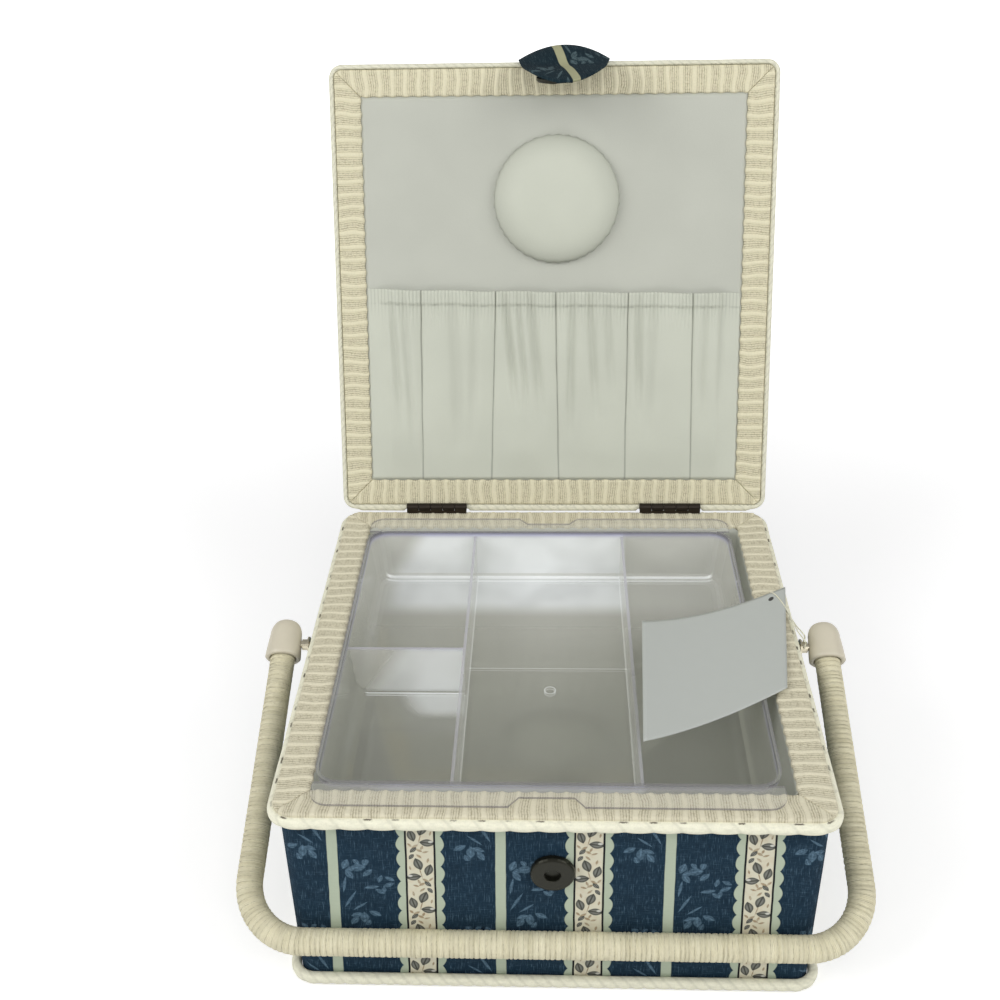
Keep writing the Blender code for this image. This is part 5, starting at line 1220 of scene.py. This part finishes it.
# Solids that stay as they are packed
def dress_solids(colours):
    """Give the solids their finishes, each chosen by a word in the node's name."""
    finishes = {
        "snap_": worked_surface("aged_bronze", colours.snap, 500, 0.35, 0.00005, Roughness=0.3, Metallic=0.7),
        "hinge": worked_surface("dark_bronze", shade(46, 38, 30), 500, 0.5, 0.00008, Roughness=0.45,
                                Metallic=0.6),
        "pivot_": worked_surface("plated_steel", shade(206, 198, 176), 400, 0.25, 0.00003, Roughness=0.22,
                                 Metallic=1.0),
        "_board": worked_surface("fibreboard", shade(150, 128, 98), 260, 0.6, 0.0002, Roughness=0.9),
        "handle_core": worked_surface("cane", shade(190, 160, 116), 150, 0.5, 0.0002, Roughness=0.7),
        "clear_tray": clear_finish(),
    }
    for word, finish in finishes.items():
        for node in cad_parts:
            if word in node:
                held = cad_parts[node].data.materials
                held.clear()
                held.append(finish)


# Stage
def make_stage():
    """A pale floor that shows white to the camera and keeps the basket's shadow, soft lamps either side, and
    the camera where the photograph was taken from."""
    side = np.array([-FLOOR_HALF, FLOOR_HALF])
    corners = points_at(side[None], side[:, None], FLOOR_Z)
    finish, tree, shader = new_finish("pale_floor", Roughness=0.9)
    grain = noise(tree, object_place(tree), 3.0, 2.0)
    plug(shader.inputs["Base Color"], grain.mix((0.86, 0.86, 0.86), (0.88, 0.88, 0.88)))
    path = tree.nodes.new("ShaderNodeLightPath")
    seen = Wire(path.outputs["Is Camera Ray"]).math("MAXIMUM", Wire(path.outputs["Is Glossy Ray"]))
    seen = seen.math("MAXIMUM", Wire(path.outputs["Is Transmission Ray"]))
    glow = tree.nodes.new("ShaderNodeEmission")
    parts = tree.nodes.new("ShaderNodeSeparateXYZ")
    plug(parts.inputs[0], object_place(tree))
    x, y = Wire(parts.outputs[0]), Wire(parts.outputs[1])
    away = distance(x, y).smooth(0.3, 1.3)
    plug(glow.inputs["Strength"], seen * (away * 0.66 + 0.33))
    both = tree.nodes.new("ShaderNodeAddShader")
    tree.links.new(shader.outputs[0], both.inputs[0])
    tree.links.new(glow.outputs[0], both.inputs[1])
    tree.links.new(both.outputs[0], tree.nodes["Material Output"].inputs["Surface"])
    floor = surface("floor", corners, np.zeros((2, 2, 2)), finish, facing=(0, 0, 1))
    for name, (place, power, wide) in LAMPS.items():
        lamp = bpy.data.lights.new(name, "AREA")
        lamp.energy, lamp.size = power, wide
        made = bpy.data.objects.new(name, lamp)
        bpy.context.scene.collection.objects.link(made)
        made.matrix_world = looking(place, np.array(LAMP_AIM) - place)
    world = bpy.context.scene.world or bpy.data.worlds.new("soft_room")
    bpy.context.scene.world = world
    world.use_nodes = True
    sky = world.node_tree.nodes["Background"]
    sky.inputs["Color"].default_value = (1, 1, 1, 1)
    sky.inputs["Strength"].default_value = SKY_STRENGTH
    bpy.context.scene.view_settings.view_transform = "Standard"
    camera = bpy.data.cameras.new("camera")
    camera.lens, camera.sensor_width = CAMERA_LENS, 36.0
    camera.clip_start, camera.clip_end = 0.01, 50.0
    made = bpy.data.objects.new("camera", camera)
    bpy.context.scene.collection.objects.link(made)
    across = np.array([math.cos(CAMERA_YAW), -math.sin(CAMERA_YAW), 0.0])
    ahead = math.cos(CAMERA_PITCH) * np.array([math.sin(CAMERA_YAW), math.cos(CAMERA_YAW), 0.0])
    ahead[2] = -math.sin(CAMERA_PITCH)
    down = np.cross(ahead, across)
    cos, sin = math.cos(CAMERA_ROLL), math.sin(CAMERA_ROLL)
    made.matrix_world = framed(CAMERA_PLACE, cos * across + sin * down, sin * across - cos * down, -ahead)
    bpy.context.scene.camera = made


def framed(place, x, y, z):
    """The matrix of an object at a place, with its three axes."""
    matrix = Matrix.Identity(4)
    for k, axis in enumerate((x, y, z, place)):
        for row in range(3):
            matrix[row][k] = float(axis[row])
    return matrix


def looking(place, ahead):
    """The matrix of a lamp at a place that shines along a direction."""
    z = -np.array(ahead, float)
    z /= np.linalg.norm(z)
    x = np.cross([0, 0, 1.0], z)
    x /= np.linalg.norm(x)
    return framed(place, x, np.cross(z, x), z)


class BASKET_OT_stage(bpy.types.Operator):
    """Make the floor, lamps and camera"""
    bl_idname = "basket.stage"
    bl_label = "Stage"

    def execute(self, context):
        make_stage()
        return {"FINISHED"}


class BASKET_OT_box_cover(bpy.types.Operator):
    """Make the printed cloth round the walls and under the base"""
    bl_idname = "basket.box_cover"
    bl_label = "Box Cover"

    def execute(self, context):
        make_box_cover(context.scene.basket_colours)
        return {"FINISHED"}


class BASKET_OT_linings(bpy.types.Operator):
    """Make the satin linings of the box and the lid"""
    bl_idname = "basket.linings"
    bl_label = "Linings"

    def execute(self, context):
        make_box_lining(context.scene.basket_colours)
        make_lid_lining(context.scene.basket_colours)
        return {"FINISHED"}


class BASKET_OT_bands(bpy.types.Operator):
    """Make the woven bands of the rim and the lid"""
    bl_idname = "basket.bands"
    bl_label = "Woven Bands"

    def execute(self, context):
        make_bands(context.scene.basket_sizes, context.scene.basket_colours)
        return {"FINISHED"}


class BASKET_OT_cords(bpy.types.Operator):
    """Make the braids of the box and the lid's piping"""
    bl_idname = "basket.cords"
    bl_label = "Braids and Piping"

    def execute(self, context):
        make_trim_cords(context.scene.basket_sizes, context.scene.basket_colours)
        make_lid_piping(context.scene.basket_colours)
        return {"FINISHED"}


class BASKET_OT_lid_top(bpy.types.Operator):
    """Make the padded top of the lid"""
    bl_idname = "basket.lid_top"
    bl_label = "Padded Lid Top"

    def execute(self, context):
        make_lid_top(context.scene.basket_colours)
        return {"FINISHED"}


class BASKET_OT_pincushion(bpy.types.Operator):
    """Make the stuffed pincushion"""
    bl_idname = "basket.pincushion"
    bl_label = "Pincushion"

    def execute(self, context):
        make_pincushion(context.scene.basket_sizes, context.scene.basket_colours)
        return {"FINISHED"}


class BASKET_OT_pockets(bpy.types.Operator):
    """Make the gathered pocket cloth"""
    bl_idname = "basket.pockets"
    bl_label = "Pockets"

    def execute(self, context):
        make_pockets(context.scene.basket_sizes, context.scene.basket_colours)
        return {"FINISHED"}


class BASKET_OT_tab(bpy.types.Operator):
    """Make the closure tab"""
    bl_idname = "basket.tab"
    bl_label = "Closure Tab"

    def execute(self, context):
        make_closure_tab(context.scene.basket_colours)
        return {"FINISHED"}


class BASKET_OT_handle(bpy.types.Operator):
    """Make the winding of the handle and its end caps"""
    bl_idname = "basket.handle"
    bl_label = "Handle Winding"

    def execute(self, context):
        make_handle_winding(context.scene.basket_sizes, context.scene.basket_colours)
        make_end_caps(context.scene.basket_colours)
        return {"FINISHED"}


class BASKET_OT_card(bpy.types.Operator):
    """Make the blank card and its loop"""
    bl_idname = "basket.card"
    bl_label = "Card"

    def execute(self, context):
        make_card(context.scene.basket_sizes, context.scene.basket_colours)
        return {"FINISHED"}


class BASKET_OT_solids(bpy.types.Operator):
    """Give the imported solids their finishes"""
    bl_idname = "basket.solids"
    bl_label = "Solid Parts"

    def execute(self, context):
        dress_solids(context.scene.basket_colours)
        return {"FINISHED"}


OPERATORS = (BASKET_OT_stage, BASKET_OT_box_cover, BASKET_OT_linings, BASKET_OT_bands, BASKET_OT_cords,
             BASKET_OT_lid_top, BASKET_OT_pincushion, BASKET_OT_pockets, BASKET_OT_tab, BASKET_OT_handle,
             BASKET_OT_card, BASKET_OT_solids)


class BASKET_PT_panel(bpy.types.Panel):
    """The basket's pieces, sizes and colours"""
    bl_idname = "BASKET_PT_panel"
    bl_label = "Sewing Basket"
    bl_space_type = "VIEW_3D"
    bl_region_type = "UI"
    bl_category = "Basket"

    def draw(self, context):
        for operator in OPERATORS:
            self.layout.operator(operator.bl_idname)
        for group in (context.scene.basket_sizes, context.scene.basket_colours):
            for name in group.__annotations__:
                self.layout.prop(group, name)


CLASSES = (BasketSizes, BasketColours, *OPERATORS, BASKET_PT_panel)


def register():
    """Register the classes, and keep the sizes and colours with the scene."""
    for made in CLASSES:
        bpy.utils.register_class(made)
    bpy.types.Scene.basket_sizes = bpy.props.PointerProperty(type=BasketSizes)
    bpy.types.Scene.basket_colours = bpy.props.PointerProperty(type=BasketColours)


def unregister():
    """Undo what register does."""
    del bpy.types.Scene.basket_colours
    del bpy.types.Scene.basket_sizes
    for made in reversed(CLASSES):
        bpy.utils.unregister_class(made)


def main():
    """Make every piece in order."""
    register()
    for operator in OPERATORS:
        group, name = operator.bl_idname.split(".")
        getattr(getattr(bpy.ops, group), name)()


if __name__ == "__main__":
    main()
